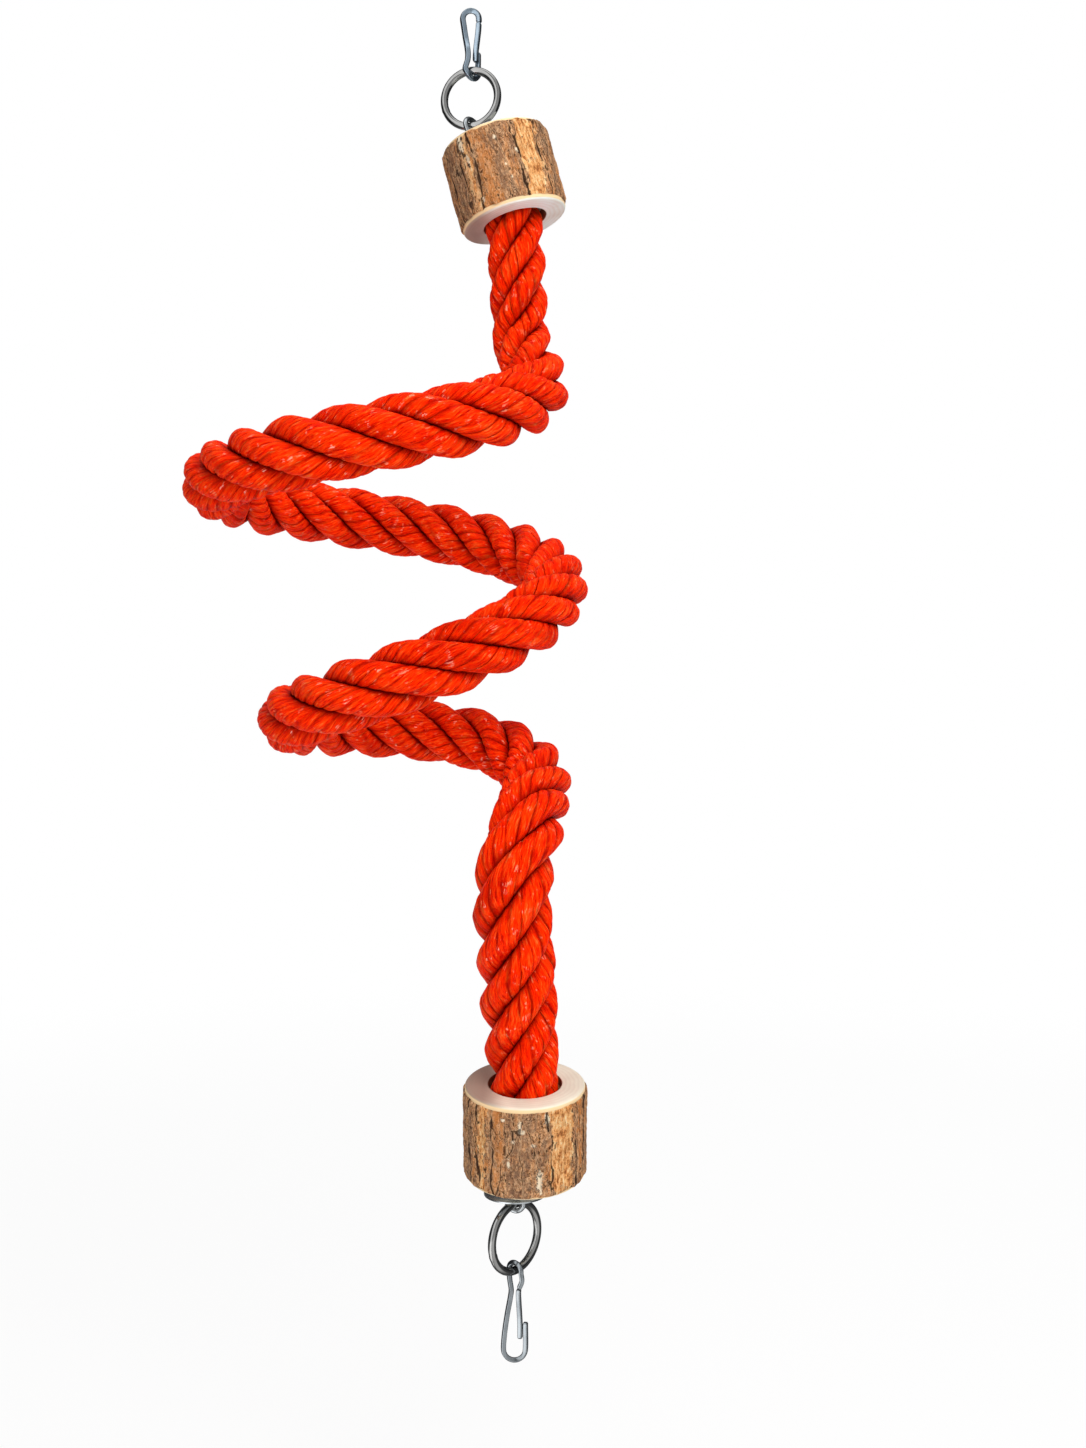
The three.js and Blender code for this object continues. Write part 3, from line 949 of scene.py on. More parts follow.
@dataclass(frozen=True)
class End:
    """One end of the rope: the block's lean and sizes, and the wire's stub outside it."""

    side: str
    mouth: tuple[float, float, float]
    turn_x_deg: float
    turn_y_deg: float
    outer: float
    height: float
    bore: float
    bore_depth: float
    glue_depth: float
    rope_dia: float
    stub_x: float
    stub_left_deg: float
    stub_back_deg: float
    eye_at: float
    sleeve_at: float
    eye_turn_deg: float

    @property
    def matrix(self) -> Matrix:
        """Return the block's frame, its mouth at the origin and its outer face up, in millimetres.

        Returns:
            The frame.
        """
        turn = Euler((math.radians(self.turn_x_deg), math.radians(self.turn_y_deg), 0), "XYZ")
        place = Matrix.Translation(PERCH_PLACE + Vector(self.mouth))
        return place @ turn.to_matrix().to_4x4()

    @property
    def stub(self) -> Matrix:
        """Return the stub's frame inside the block's, in millimetres.

        Returns:
            The frame.
        """
        lean = turned(-self.stub_back_deg, "X") @ turned(-self.stub_left_deg, "Y")
        place = Matrix.Translation((self.stub_x, 0, self.height))
        return place @ lean @ turned(self.eye_turn_deg, "Z")

    @property
    def rope_depth(self) -> float:
        """Return how deep the rope goes into the bore."""
        return self.bore_depth - self.glue_depth - 2 * GAP


# Sizes that both ends share, in millimetres
GAP = 0.3
WIRE = 4.6
EYE_OUTER = 22.5
EYE_RADIUS = (EYE_OUTER - WIRE) / 2
SLEEVE_LENGTH = 4.8
SLEEVE_LEAD = 1.6
TAIL_SHIFT = WIRE + GAP
WASHER_HOLE_RADIUS = 9.5

# How far the eye goes on past half a circle at each side, and the steps of its arc
EYE_SPREAD_DEG = 40.0
EYE_STEPS = 14

# Where the rope's stations in a bore lie, as shares of how deep it goes
IN_BORE = (0.3, 0.8, 1)

UPPER = End(
    side="upper",
    mouth=(1.1, 0, -4.2),
    turn_x_deg=-0.5,
    turn_y_deg=-15,
    outer=100.5,
    height=75.3,
    bore=58.5,
    bore_depth=48,
    glue_depth=18,
    rope_dia=51,
    stub_x=-12.2,
    stub_left_deg=5,
    stub_back_deg=0,
    eye_at=17.4,
    sleeve_at=2.6,
    eye_turn_deg=50,
)
LOWER = End(
    side="lower",
    mouth=(10.2, -16.3, -784),
    turn_x_deg=189.7,
    turn_y_deg=0,
    outer=113,
    height=85,
    bore=66.3,
    bore_depth=54,
    glue_depth=17,
    rope_dia=60,
    stub_x=-7,
    stub_left_deg=0,
    stub_back_deg=9.7,
    eye_at=28,
    sleeve_at=8.5,
    eye_turn_deg=26,
)


@dataclass
class Station:
    """A point of the route and the rope's thickness there."""

    point: Vector
    thick: float = 0.0


def through(points: Sequence[Vector], steps: int) -> Array:
    """Return a centripetal curve through the points.

    Args:
        points: What it passes through.
        steps: Pieces for each span.

    Returns:
        An array of steps x spans + 1 points.
    """
    data = np.array([tuple(point) for point in points], float)
    data = np.vstack([2 * data[0] - data[1], data, 2 * data[-1] - data[-2]])
    share = np.linspace(0, 1, steps, endpoint=False)[:, None]
    curve = []
    for index in range(len(data) - 3):
        p0, p1, p2, p3 = data[index : index + 4]
        middle = np.linalg.norm(p2 - p1) ** 0.5
        before = np.linalg.norm(p1 - p0) ** 0.5 or middle
        after = np.linalg.norm(p3 - p2) ** 0.5 or middle
        leaving = (p1 - p0) / before - (p2 - p0) / (before + middle) + (p2 - p1) / middle
        meeting = (p2 - p1) / middle - (p3 - p1) / (middle + after) + (p3 - p2) / after
        leaving, meeting = leaving * middle, meeting * middle
        square = -3 * p1 + 3 * p2 - 2 * leaving - meeting
        cube = 2 * p1 - 2 * p2 + leaving + meeting
        curve.append(p1 + leaving * share + square * share**2 + cube * share**3)
    curve.append(data[-2][None, :])
    return np.vstack(curve)


def evenly(points: Array, spacing: float) -> tuple[Array, Array]:
    """Return the points resampled at an even spacing, and their places in the list.

    Args:
        points: The line.
        spacing: How far apart the new points are, nearly.

    Returns:
        The new points, and where each lies in the old list.
    """
    lengths = np.linalg.norm(np.diff(points, axis=0), axis=1)
    run = np.concatenate([[0], np.cumsum(lengths)])
    count = max(2, round(run[-1] / spacing))
    wanted = np.linspace(0, run[-1], count + 1)
    at = np.interp(wanted, run, np.arange(len(points)))
    found = np.stack([np.interp(wanted, run, points[:, axis]) for axis in range(3)], axis=1)
    return found, at


@dataclass(frozen=True)
class Coil:
    """The coil's centreline, on a cone that narrows downwards; sizes are in millimetres."""

    first_turn: float = 0.14
    last_turn: float = 1.86
    steps_per_turn: int = 24
    radius: float = 177.3
    radius_loss: float = 39.7
    waist: float = 3.45
    near_drop: float = 30.2
    near_drop_gain: float = -6.6
    side_rise: float = 12.8
    side_drop: float = 4.0
    centre_x: float = -128.0
    centre_drift: float = 28.1
    centre_y: float = 19.8
    depth_share: float = 0.9
    start_z: float = -141.8
    pitch: float = 201.7

    def point(self, turns: float) -> Vector:
        """Return the centreline at a number of turns, in the perch's frame.

        Args:
            turns: How many turns lie above it.

        Returns:
            The point.
        """
        angle = math.tau * turns
        middle = turns - 1
        radius = self.radius - self.radius_loss * turns - self.waist * middle**2
        drop = self.near_drop + self.near_drop_gain * middle
        rise = self.side_rise * turns - self.side_drop
        across = self.centre_x + self.centre_drift * turns + radius * math.cos(angle)
        away = self.centre_y - radius * self.depth_share * math.sin(angle)
        up = self.start_z - self.pitch * turns - drop * math.sin(angle) + rise * math.cos(angle)
        return Vector((across, away, up))


class Route:
    """The wire's and the rope's way from eye to eye, the same as in the part's source."""

    UPPER_RUN = ((1.6, 0.8, -26), (3.9, 1.4, -68), (7.1, 1.5, -112), (19.3, -38.3, -166))
    LOWER_RUN = ((18, 52.2, -508.6), (12.2, -34.8, -552.3), (0.6, -55.1, -598.1), (4.2, -36.1, -698.8))
    COIL_DIA = 58.5
    LOWER_DIA = 67.2
    STEPS = 12

    def __init__(self) -> None:
        """Work out the stations and the curve through them, in the part's frame."""
        upper_stub = self._stub(UPPER)
        rope = self._rope()
        lower_stub = self._stub(LOWER)[::-1]
        self.stations = [*upper_stub, *rope, *lower_stub]
        self.first = len(upper_stub)
        self.last = self.first + len(rope) - 1
        self.curve = through([station.point for station in self.stations], self.STEPS)

    def _stub(self, end: End) -> list[Station]:
        """Return the tail, the eye and the stub of one end, from the tail to past the bore's floor.

        Args:
            end: The end.

        Returns:
            Its stations.
        """
        frame_of = end.matrix @ end.stub
        sleeve_end = end.sleeve_at + SLEEVE_LENGTH

        def place(across: float, along: float) -> Station:
            """Return a station in the eye's plane."""
            return Station(frame_of @ Vector((across, 0, along)))

        found = [
            place(-TAIL_SHIFT, end.sleeve_at + GAP),
            place(-TAIL_SHIFT, sleeve_end - SLEEVE_LEAD),
            place(-TAIL_SHIFT, sleeve_end + GAP),
        ]
        for index in range(EYE_STEPS + 1):
            degrees = 180 + EYE_SPREAD_DEG - (180 + 2 * EYE_SPREAD_DEG) * index / EYE_STEPS
            angle = math.radians(degrees)
            across = EYE_RADIUS * math.cos(angle) - TAIL_SHIFT / 2
            found.append(place(across, end.eye_at + EYE_RADIUS * math.sin(angle)))
        lean = math.cos(math.radians(end.stub_left_deg + end.stub_back_deg))
        floor = (end.bore_depth - end.height) / lean
        found += [place(0, sleeve_end + GAP), place(0, sleeve_end - SLEEVE_LEAD), place(0, 0)]
        found += [place(0, floor), place(0, floor - WIRE)]
        return found

    def _rope(self) -> list[Station]:
        """Return the rope's stations from bore to bore.

        Returns:
            The stations.
        """
        upper, lower = (
            [Station(end.matrix @ Vector((0, 0, end.rope_depth * part)), end.rope_dia) for part in IN_BORE]
            for end in (UPPER, LOWER)
        )
        coil = Coil()
        steps = round((coil.last_turn - coil.first_turn) * coil.steps_per_turn)
        turns = [coil.first_turn + index / coil.steps_per_turn for index in range(steps + 1)]
        gain = self.LOWER_DIA - self.COIL_DIA
        run = [
            *zip(self.UPPER_RUN, (UPPER.rope_dia,) * 3 + (self.COIL_DIA,)),
            *((coil.point(turn), self.COIL_DIA) for turn in turns),
            *zip(self.LOWER_RUN, (self.COIL_DIA + gain * share for share in (1 / 3, 2 / 3, 1, 1))),
        ]
        between = [Station(PERCH_PLACE + Vector(place), thick) for place, thick in run]
        return [*reversed(upper), *between, *lower]

    def wire(self, spacing: float) -> Array:
        """Return the whole wire's centreline at an even spacing."""
        return evenly(self.curve, spacing)[0]

    def rope(self, spacing: float) -> tuple[Array, Array]:
        """Return the rope's centreline at an even spacing, and its thickness there.

        Args:
            spacing: How far apart the points are.

        Returns:
            The points and the thicknesses.
        """
        part = self.curve[self.first * self.STEPS : self.last * self.STEPS + 1]
        thick = [station.thick for station in self.stations[self.first : self.last + 1]]
        places = np.arange(len(part)) / self.STEPS
        across = np.interp(places, np.arange(len(thick)), thick)
        points, at = evenly(part, spacing)
        return points, np.interp(at, np.arange(len(part)), across)


def frames_along(points: Array, first_side: Sequence[float]) -> tuple[Array, Array]:
    """Return two unit vectors across a line at each point, which turn as little as they can.

    Args:
        points: The line.
        first_side: What the first vector is near.

    Returns:
        The first vectors and the second ones.
    """
    tangents = np.gradient(points, axis=0)
    tangents /= np.linalg.norm(tangents, axis=1)[:, None]
    sides = np.empty_like(points)
    side = np.array(first_side, float)
    for index, tangent in enumerate(tangents):
        side = side - tangent * side.dot(tangent)
        side /= np.linalg.norm(side)
        sides[index] = side
    return sides, np.cross(tangents, sides)


def on_rings(points: Array, sides: Array, others: Array, across: Array, up: Array) -> Array:
    """Return the points of outlines drawn round a line, ring by ring.

    Args:
        points: The line.
        sides: One direction across at each point.
        others: The other direction across.
        across: Places of the outline's points along the first, a row for each ring or one for all.
        up: The same along the second.

    Returns:
        A row for each point.
    """
    skin = points[:, None] + across[..., None] * sides[:, None] + up[..., None] * others[:, None]
    return skin.reshape(-1, 3)


# -------------------------------------------------------------------------- rope


@dataclass
class Run:
    """The rope at each of its rings: centre, thickness, two directions across it and its twists."""

    points: Array
    thick: Array
    sides: Array
    others: Array
    phase: Array
    twist: Array


@dataclass
class LaidRope:
    """The rope: four strands laid right-handed, each of twisted plies, round a wire."""

    route: Route
    strands: int = 4
    plies: int = 8
    ring_spacing: float = 1.9
    lay_sizes: tuple[float, ...] = (51.0, 58.5, 67.2)
    lays: tuple[float, ...] = (139.0, 189.0, 167.0)
    # How strong the painted shade in the ply grooves is at each lay size
    ply_groove_shade: tuple[float, ...] = (1.0, 0.7, 1.0)
    start_phase: float = 0.05
    ply_turn: float = 0.115
    ply_turn_dia: float = 51.0
    swell: float = 0.045
    swell_from: float = 4.0
    swell_over: tuple[float, float] = (-18.0, -6.0)
    lobe_radius: float = 0.455
    lobe_centre: float = 0.545
    hole: float = 2.9
    ply_depth: float = 1.25
    ply_wander: float = 0.5
    lump_height: float = 1.5
    groove_width: float = 0.095
    grooves: tuple[float, ...] = (0.0, 0.08, 0.22, 0.5, 0.78, 0.92)
    first_seed: int = 40
    map_radius: float = 13.0
    map_stretch: float = 2.1
    finish: RopeFinish = field(default_factory=RopeFinish)

    def build(self) -> None:
        points, thick = self.route.rope(self.ring_spacing)
        sides, others = frames_along(points, (0, 1, 0))
        step = np.linalg.norm(np.diff(points, axis=0), axis=1).mean()
        lay = np.interp(thick, self.lay_sizes, self.lays)
        phase = self.start_phase + np.cumsum(step * math.tau / lay)
        twist = np.cumsum(step * self.ply_turn * self.ply_turn_dia / thick)
        along = np.arange(len(points)) * step
        from_upper = along - UPPER.rope_depth - self.swell_from
        from_lower = along[-1] - along - LOWER.rope_depth - self.swell_from
        swollen = smooth_step(np.minimum(from_upper, from_lower), *self.swell_over)
        thick = thick * (1 + self.swell * swollen)
        run = Run(points, thick, sides, others, phase, twist)
        material = self.finish.make()
        for strand in range(self.strands):
            piece = self._strand(strand, run)
            dress(piece, material, "perch")
            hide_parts("rope")

    def _strand(self, strand: int, run: Run) -> Piece:
        """Make one strand's skin, with the marks that its finish reads.

        Args:
            strand: Its number.
            run: The rope's rings.

        Returns:
            The strand.
        """
        grain = Grain(self.first_seed + strand)
        share = np.array([ply + groove for ply in range(self.plies) for groove in self.grooves])
        columns = len(share)
        radius = run.thick[:, None] / 2
        along = np.arange(len(radius))[:, None] * self.ring_spacing
        number = np.floor(share)[None, :]
        wander = (grain.rough(number * 7.3 + 0.5, along / 24.0 + number * 5, 3) - 0.5) * self.ply_wander
        around = (share / self.plies * math.tau)[None, :] - run.twist[:, None] + wander
        across = (share % 1.0)[None, :]
        near = np.minimum(across, 1 - across)
        depth = 0.35 + grain.rough(number * 3.1 + 0.2, along / 34.0 + number * 9, 2)
        groove = np.exp(-((near / self.groove_width) ** 2))
        bulge = np.sqrt(np.clip(np.sin(np.pi * across), 0, 1))
        relief = self.ply_depth * depth * (bulge - 1) - 0.5 * groove * depth
        lump = (grain.rough(around * 1.3 + 20, along / 26.0, 3) - 0.5) * self.lump_height
        lobe = radius * self.lobe_radius + relief + lump
        x = np.maximum(radius * self.lobe_centre + lobe * np.cos(around), self.hole)
        y = lobe * np.sin(around)
        limit = np.maximum(x - 0.25 - 1.2 * groove * depth, 0.4)
        y = np.sign(y) * np.minimum(np.abs(y), limit)
        phase = run.phase[:, None] + strand * math.tau / self.strands
        skin = on_rings(
            run.points,
            run.sides,
            run.others,
            x * np.cos(phase) - y * np.sin(phase),
            x * np.sin(phase) + y * np.cos(phase),
        )
        outward = run.sides * np.cos(phase) + run.others * np.sin(phase)
        centres = run.points + outward * run.thick[:, None] * self.lobe_centre / 2
        points = np.vstack([skin, centres[:1], centres[-1:]])
        piece = Bench.swept(f"rope_strand_{strand + 1}", points, columns)
        self._close(piece, columns)
        reach = np.hypot(x, y) / radius
        reach += (grain.rough(around * 3.0 + 30, along / 5.0, 3) - 0.5) * 0.14
        mark = np.interp(run.thick, self.lay_sizes, self.ply_groove_shade)[:, None]
        # The first three marks say where the finish paints shade: in the creases, in the grooves between
        # plies and where a strand turns in.
        marks = {
            "crease": 1 - smooth_step(reach, 0.62, 0.74),
            "ply": np.clip(groove * smooth_step(depth, 0.5, 1.0) * mark, 0, 1),
            "turned_in_shade": 1 - smooth_step(reach, 0.7, 0.9),
            "shade": smooth_step(grain.rough(around * 0.8, along / 70.0, 2), 0.6, 0.9) * 0.5,
        }
        for name, values in marks.items():
            Bench.store(piece, name, np.append(values, [1.0, 1.0]))
        self._unwrap(piece, share, len(radius))
        Bench.smooth(piece, 75)
        return piece

    @staticmethod
    def _close(piece: Piece, columns: int) -> None:
        """Close both ends of a strand with fans round the two points after its rings.

        Args:
            piece: The strand.
            columns: Points in a ring.
        """
        shape = bmesh.new()
        shape.from_mesh(piece.data)
        shape.verts.ensure_lookup_table()
        last_ring = len(shape.verts) - 2 - columns
        for ring, centre in ((0, shape.verts[-2]), (last_ring, shape.verts[-1])):
            for column in range(columns):
                pair = [shape.verts[ring + column], shape.verts[ring + (column + 1) % columns]]
                if ring == 0:
                    pair.reverse()
                shape.faces.new([*pair, centre])
        shape.to_mesh(piece.data)
        shape.free()

    def _unwrap(self, piece: Piece, share: Array, rings: int) -> None:
        """Lay a UV map over the strand: across the plies, then along them.

        Args:
            piece: The strand.
            share: Where each column lies, in plies.
            rings: How many rings it has.
        """
        columns = len(share)
        corner = Bench.corners(piece)
        on_ring = corner < rings * columns
        column = np.where(on_ring, corner % columns, 0)
        ring = np.where(on_ring, corner // columns, 0)
        across = share[column]
        start = np.arange((rings - 1) * columns) * 4
        closing = start[column[start] == columns - 1]
        across[closing + 1] = self.plies
        across[closing + 2] = self.plies
        width = math.tau * self.map_radius / self.plies
        Bench.unwrap(piece, across * width, ring * self.ring_spacing * self.map_stretch)


@dataclass
class CoreWire:
    """The steel wire in the rope, from eye to eye."""

    route: Route
    material: Material
    ring_spacing: float = 1.4
    columns: int = 20

    def build(self) -> None:
        """Make the wire as one round tube and replace the CAD's."""
        points = self.route.wire(self.ring_spacing)
        sides, others = frames_along(points, (0, 1, 0))
        angle = np.arange(self.columns)[None, :] / self.columns * math.tau
        skin = on_rings(points, sides, others, np.cos(angle) * WIRE / 2, np.sin(angle) * WIRE / 2)
        piece = Bench.swept("core_wire_skin", skin, self.columns)
        Bench.cap(piece)
        Bench.smooth(piece, 60)
        dress(piece, self.material, "perch")
        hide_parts("core_wire")


# ------------------------------------------------------------------------ blocks


@dataclass(frozen=True)
class Strip:
    """A band of bark: its middle and half width in degrees from the front, its slant in degrees a mm."""

    middle: float
    half: float
    strength: float = 1.0
    seed: float = 0.0
    slant: float = 0.0


def bands(*rows: Sequence[float]) -> tuple[Strip, ...]:
    """Return bands of bark from their middle, half width, strength, seed and slant."""
    return tuple(Strip(*row) for row in rows)


@dataclass
class LogBlock:
    """One log block: sanded wood, bored and rounded, in a sleeve of bark; sizes are in millimetres.

    The bands of bark are bared strips, warmer and cooler stretches and cracks. A chip is its middle
    in degrees from the front, its height above the mouth, its half width in degrees and half height.
    """

    end: End
    strips: Sequence[Strip]
    warm: Sequence[Strip]
    cracks: Sequence[Strip]
    chips: Sequence[tuple[float, float, float, float]]
    cool: Sequence[Strip]
    face: tuple[float, float, float]
    seed: int
    bark_thick: float = 1.9
    chamfer: float = 1.8
    mouth_round: float = 3.2
    bore_round: float = 0.9
    face_inset: float = 8.0
    floor_inset: float = 6.0
    bark_from_mouth: float = 1.2
    bark_from_top: float = 0.5
    edge_depth: float = 0.9
    edge_reach: float = 1.1
    ragged_reach: float = 5.0
    ragged_height: float = 4.4
    cell_deg: float = 9.0
    columns: int = 400
    outer_rows: int = 92
    inner_rows: int = 4

    @property
    def facing(self) -> float:
        """Return 1 where the block's own Y points away from the viewer, or -1."""
        return 1.0 if self.end.side == "upper" else -1.0

    def build(self, bark: Material) -> None:
        """Turn the wood and wrap the bark round it."""
        self._wood()
        self._bark(bark)

    def _wood(self) -> None:
        """Turn the wood: a cylinder, inset and bored, its rims rounded."""
        end = self.end
        rim = end.outer / 2 - self.bark_thick - GAP
        wood = Bench.cylinder(f"{end.side}_block_wood", 144, rim, 0, end.height)
        Bench.edit(wood)
        Bench.select(wood, "FACE", lambda face: face.normal.z < -0.9)
        bpy.ops.mesh.inset(thickness=rim * MM - end.bore * MM / 2)
        bpy.ops.mesh.extrude_region_move(TRANSFORM_OT_translate={"value": (0, 0, end.bore_depth * MM)})
        bpy.ops.mesh.inset(thickness=(end.bore / 2 - self.floor_inset) * MM)
        Bench.select(wood, "FACE", lambda face: face.normal.z > 0.9)
        bpy.ops.mesh.inset(thickness=rim * MM - self.face_inset * MM)
        self._round_rim(wood, rim, end.height, self.chamfer, 4, 0.42)
        self._round_rim(wood, rim, 0, self.mouth_round, 7, 0.5)
        self._round_rim(wood, end.bore / 2, 0, self.bore_round, 3, 0.5)
        bpy.ops.object.mode_set(mode="OBJECT")
        self._stub_hole(wood)
        points = Bench.coordinates(wood) / MM
        out = np.hypot(points[:, 0], points[:, 1])
        in_bore = (out < end.bore / 2 + 0.6) & (points[:, 2] > 0.3) & (points[:, 2] < end.bore_depth + 1)
        Bench.store(wood, "from_axis", out * MM)
        Bench.store(wood, "sapwood", smooth_step(out, rim - 0.9, rim - 0.25))
        Bench.store(wood, "bore", in_bore)
        Bench.smooth(wood, 30, metres(end.matrix))
        finish = EndGrainFinish(f"{end.side}_end_grain", self.face, end.matrix.translation.x * MM)
        dress(wood, finish.make(), "perch")
        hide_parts(f"{end.side}_block")

    @staticmethod
    def _round_rim(
        wood: Piece, radius: float, height: float, size: float, steps: int, profile: float
    ) -> None:
        """Round the rim of a radius and height, in edit mode.

        Args:
            wood: The piece.
            radius: The rim's radius.
            height: Its height above the mouth.
            size: How far the rounding reaches.
            steps: Its segments.
            profile: Its shape, 0.5 for round.
        """

        def off_rim(point: Vector) -> float:
            """Return how far a point is from the rim, in metres."""
            return abs(point.xy.length - radius * MM) + abs(point.z - height * MM)

        Bench.select(wood, "EDGE", lambda edge: max(off_rim(vert.co) for vert in edge.verts) < 1e-5)
        bpy.ops.mesh.bevel(offset=size * MM, segments=steps, profile=profile)

    def _stub_hole(self, wood: Piece) -> None:
        """Drill the wire's hole through to the bore's floor.

        Args:
            wood: The wood, still at the origin.
        """
        drill = Bench.cylinder("drill", 32, WIRE / 2 + GAP, -self.end.height, self.end.height)
        Bench.settle(drill, metres(self.end.stub))
        cut = wood.modifiers.new("hole", "BOOLEAN")
        cut.object = drill
        cut.operation = "DIFFERENCE"
        cut.solver = "EXACT"
        Bench.apply_modifiers(wood)
        bpy.data.objects.remove(drill)

    def _band(
        self, angle: Array, along: Array, strips: Sequence[Strip], grain: Grain, soft: float
    ) -> Array:
        """Return how strongly upright bands cover each place, their edges ragged.

        Args:
            angle: Degrees from the front, -180 to 180.
            along: Millimetres from the mouth.
            strips: The bands.
            grain: Noise for the ragged edges.
            soft: Softness of the edges in degrees.

        Returns:
            0 to 1 at each place.
        """
        total = np.zeros(angle.shape)
        for strip in strips:
            narrow = strip.half < 2
            drift = (grain.rough(along / 26.0 + strip.seed * 3.7, strip.seed, 5) - 0.5) * 13
            drift = drift * (1.0 if narrow else 0.55) + strip.slant * (along - self.end.height / 2)
            off = off_middle(angle, strip.middle + drift)
            side = np.sign(off)
            rag = (grain.rough(along / 9.0 + strip.seed + side * 31 + 40, angle / 6.0 + 40, 5) - 0.5) * 11
            rag *= min(1.0, strip.half / 3)
            swing = 2 * grain.rough(along / 13.0 + strip.seed * 5.3, strip.seed * 3 + side, 4) - 1
            width = strip.half * (1 + swing * (2.2 if narrow else 0.4))
            inside = 1 - smooth_step(np.abs(off) - width - rag, -soft, soft)
            total = np.maximum(total, inside * strip.strength)
        return total

    def _bark(self, material: Material) -> None:
        """Wrap a fine grid into the bark sleeve and carve its plates, strips and cracks.

        Args:
            material: Its finish.
        """
        end = self.end
        rows = self.outer_rows + self.inner_rows
        Bench.clear()
        bpy.ops.mesh.primitive_grid_add(x_subdivisions=self.columns, y_subdivisions=rows, size=1)
        bark = Bench.named(f"{end.side}_bark_plates")
        flat = Bench.coordinates(bark) + 0.5
        row = np.rint(flat[:, 1] * rows)
        angle = np.rint(flat[:, 0] * self.columns) / self.columns * 360 - 180
        low, high = self.mouth_round + self.bark_from_mouth, end.height - self.chamfer - self.bark_from_top
        outside = row <= self.outer_rows
        back = high - (high - low) * (row - self.outer_rows) / self.inner_rows
        along = np.where(outside, low + (high - low) * row / self.outer_rows, back)
        values = self._relief(angle, along)
        height = values.pop("height")
        inner = end.outer / 2 - self.bark_thick
        near_edge = np.minimum(along - low, high - along)
        rounding = self.edge_depth * np.exp(-((near_edge / self.edge_reach) ** 2))
        radius = np.where(outside, end.outer / 2 + height - rounding, inner)
        radius = np.where(row == rows, inner, np.maximum(radius, inner + 0.05))
        ragged = self._noise(Grain(self.seed + 5), angle, 0, 1, 5, 20) - 0.5
        share = np.where(outside, np.clip(1 - near_edge / self.ragged_reach, 0, 1), 0)
        shift = share * ragged * self.ragged_height
        seen = np.radians(angle)
        place = [radius * np.sin(seen), -self.facing * radius * np.cos(seen), along + shift]
        bark.data.vertices.foreach_set("co", (np.stack(place, axis=1) * MM).ravel())
        for name, covered in values.items():
            Bench.store(bark, name, covered)
        corner = Bench.corners(bark)
        Bench.unwrap(bark, angle[corner] * 0.9, along[corner])
        Bench.edit(bark)
        bpy.ops.mesh.remove_doubles(threshold=1e-6)
        Bench.select_open_edges()
        bpy.ops.mesh.bridge_edge_loops()
        Bench.turn_outwards()
        Bench.smooth(bark, 60, metres(end.matrix))
        dress(bark, material, "perch")
        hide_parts(f"{end.side}_bark")

    def _noise(
        self, grain: Grain, angle: Array, along: Any, fine: float, layers: int, shift: float = 0.0
    ) -> Array:
        """Return noise, 0 to 1, that closes round the block.

        Args:
            grain: The noise.
            angle: Degrees from the front, -180 to 180.
            along: Places along the block, one lattice step a unit.
            fine: How many times finer than the block's cells it is.
            layers: How many layers it has.
            shift: How far it is moved across, in lattice steps.

        Returns:
            Values at the places.
        """
        cells = 360 / self.cell_deg
        across = angle / self.cell_deg + cells / 2
        return grain.rough(across * fine + shift, along, layers, round(cells * fine))

    def _relief(self, angle: Array, along: Array) -> dict[str, Array]:
        """Return the bark's height in millimetres and what covers it, at each place.

        Args:
            angle: Degrees from the front, -180 to 180.
            along: Millimetres from the mouth.

        Returns:
            The height, and a share of 0 to 1 for each covering, by name.
        """
        grain = Grain(self.seed)

        def rough(length: float, fine: float, layers: int, shift: float = 0.0, lift: float = 0.0) -> Array:
            """Return noise whose cells are of a length in millimetres."""
            return self._noise(grain, angle, along / length + lift, fine, layers, shift)

        strip = self._band(angle, along, self.strips, grain, 0.9)
        warm = self._band(angle, along, self.warm, grain, 5.0)
        cool = self._band(angle, along, self.cool, grain, 3.0)
        crack = self._band(angle, along, self.cracks, grain, 0.8)
        furrow = rough(34.0, 1, 3)
        thin = np.abs(rough(44.0, 1, 4, 7.3, 9) - 0.5)
        hairline = 0.8 * (1 - smooth_step(thin, 0.003, 0.016))
        gate = smooth_step(rough(18.0, 0.5, 2, 3), 0.46, 0.62)
        chip = np.zeros(angle.shape)
        rag = (rough(3.0, 6, 3) - 0.5) * 1.4
        for middle, place, width, height in self.chips:
            away = np.hypot(off_middle(angle, middle) / width, (along - place) / height)
            chip = np.maximum(chip, 1 - smooth_step(away + rag, 0.7, 1.0))
        lumps = rough(9.0, 2, 4) - 0.5
        pits = rough(2.4, 8, 3) - 0.5
        knots = smooth_step(rough(7.0, 2, 4, 5), 0.68, 0.76)
        for more in (hairline * gate * (1 - strip * 0.75), knots * 0.7, chip * (1 - chip) * 4 * 0.8):
            crack = np.maximum(crack, more)
        edge = strip * (1 - strip) * 4
        edge *= smooth_step(rough(12.0, 2, 3, 9), 0.3, 0.5)
        height = -0.6 + (furrow - 0.5) * 1.5 + lumps * 1.3 + pits * 0.5
        height += chip * 0.3 + edge * 0.3 - crack * 0.75 - strip * (0.75 + 0.2 * lumps)
        return {
            "height": np.clip(height, -1.7, 0.5),
            "strip": strip,
            "crack": np.clip(crack + edge * 0.85, 0, 1),
            "chip": chip,
            "warmth": 0.5 + 0.5 * np.maximum(warm, smooth_step(furrow, 0.6, 0.75) * 0.5) - 0.5 * cool,
        }


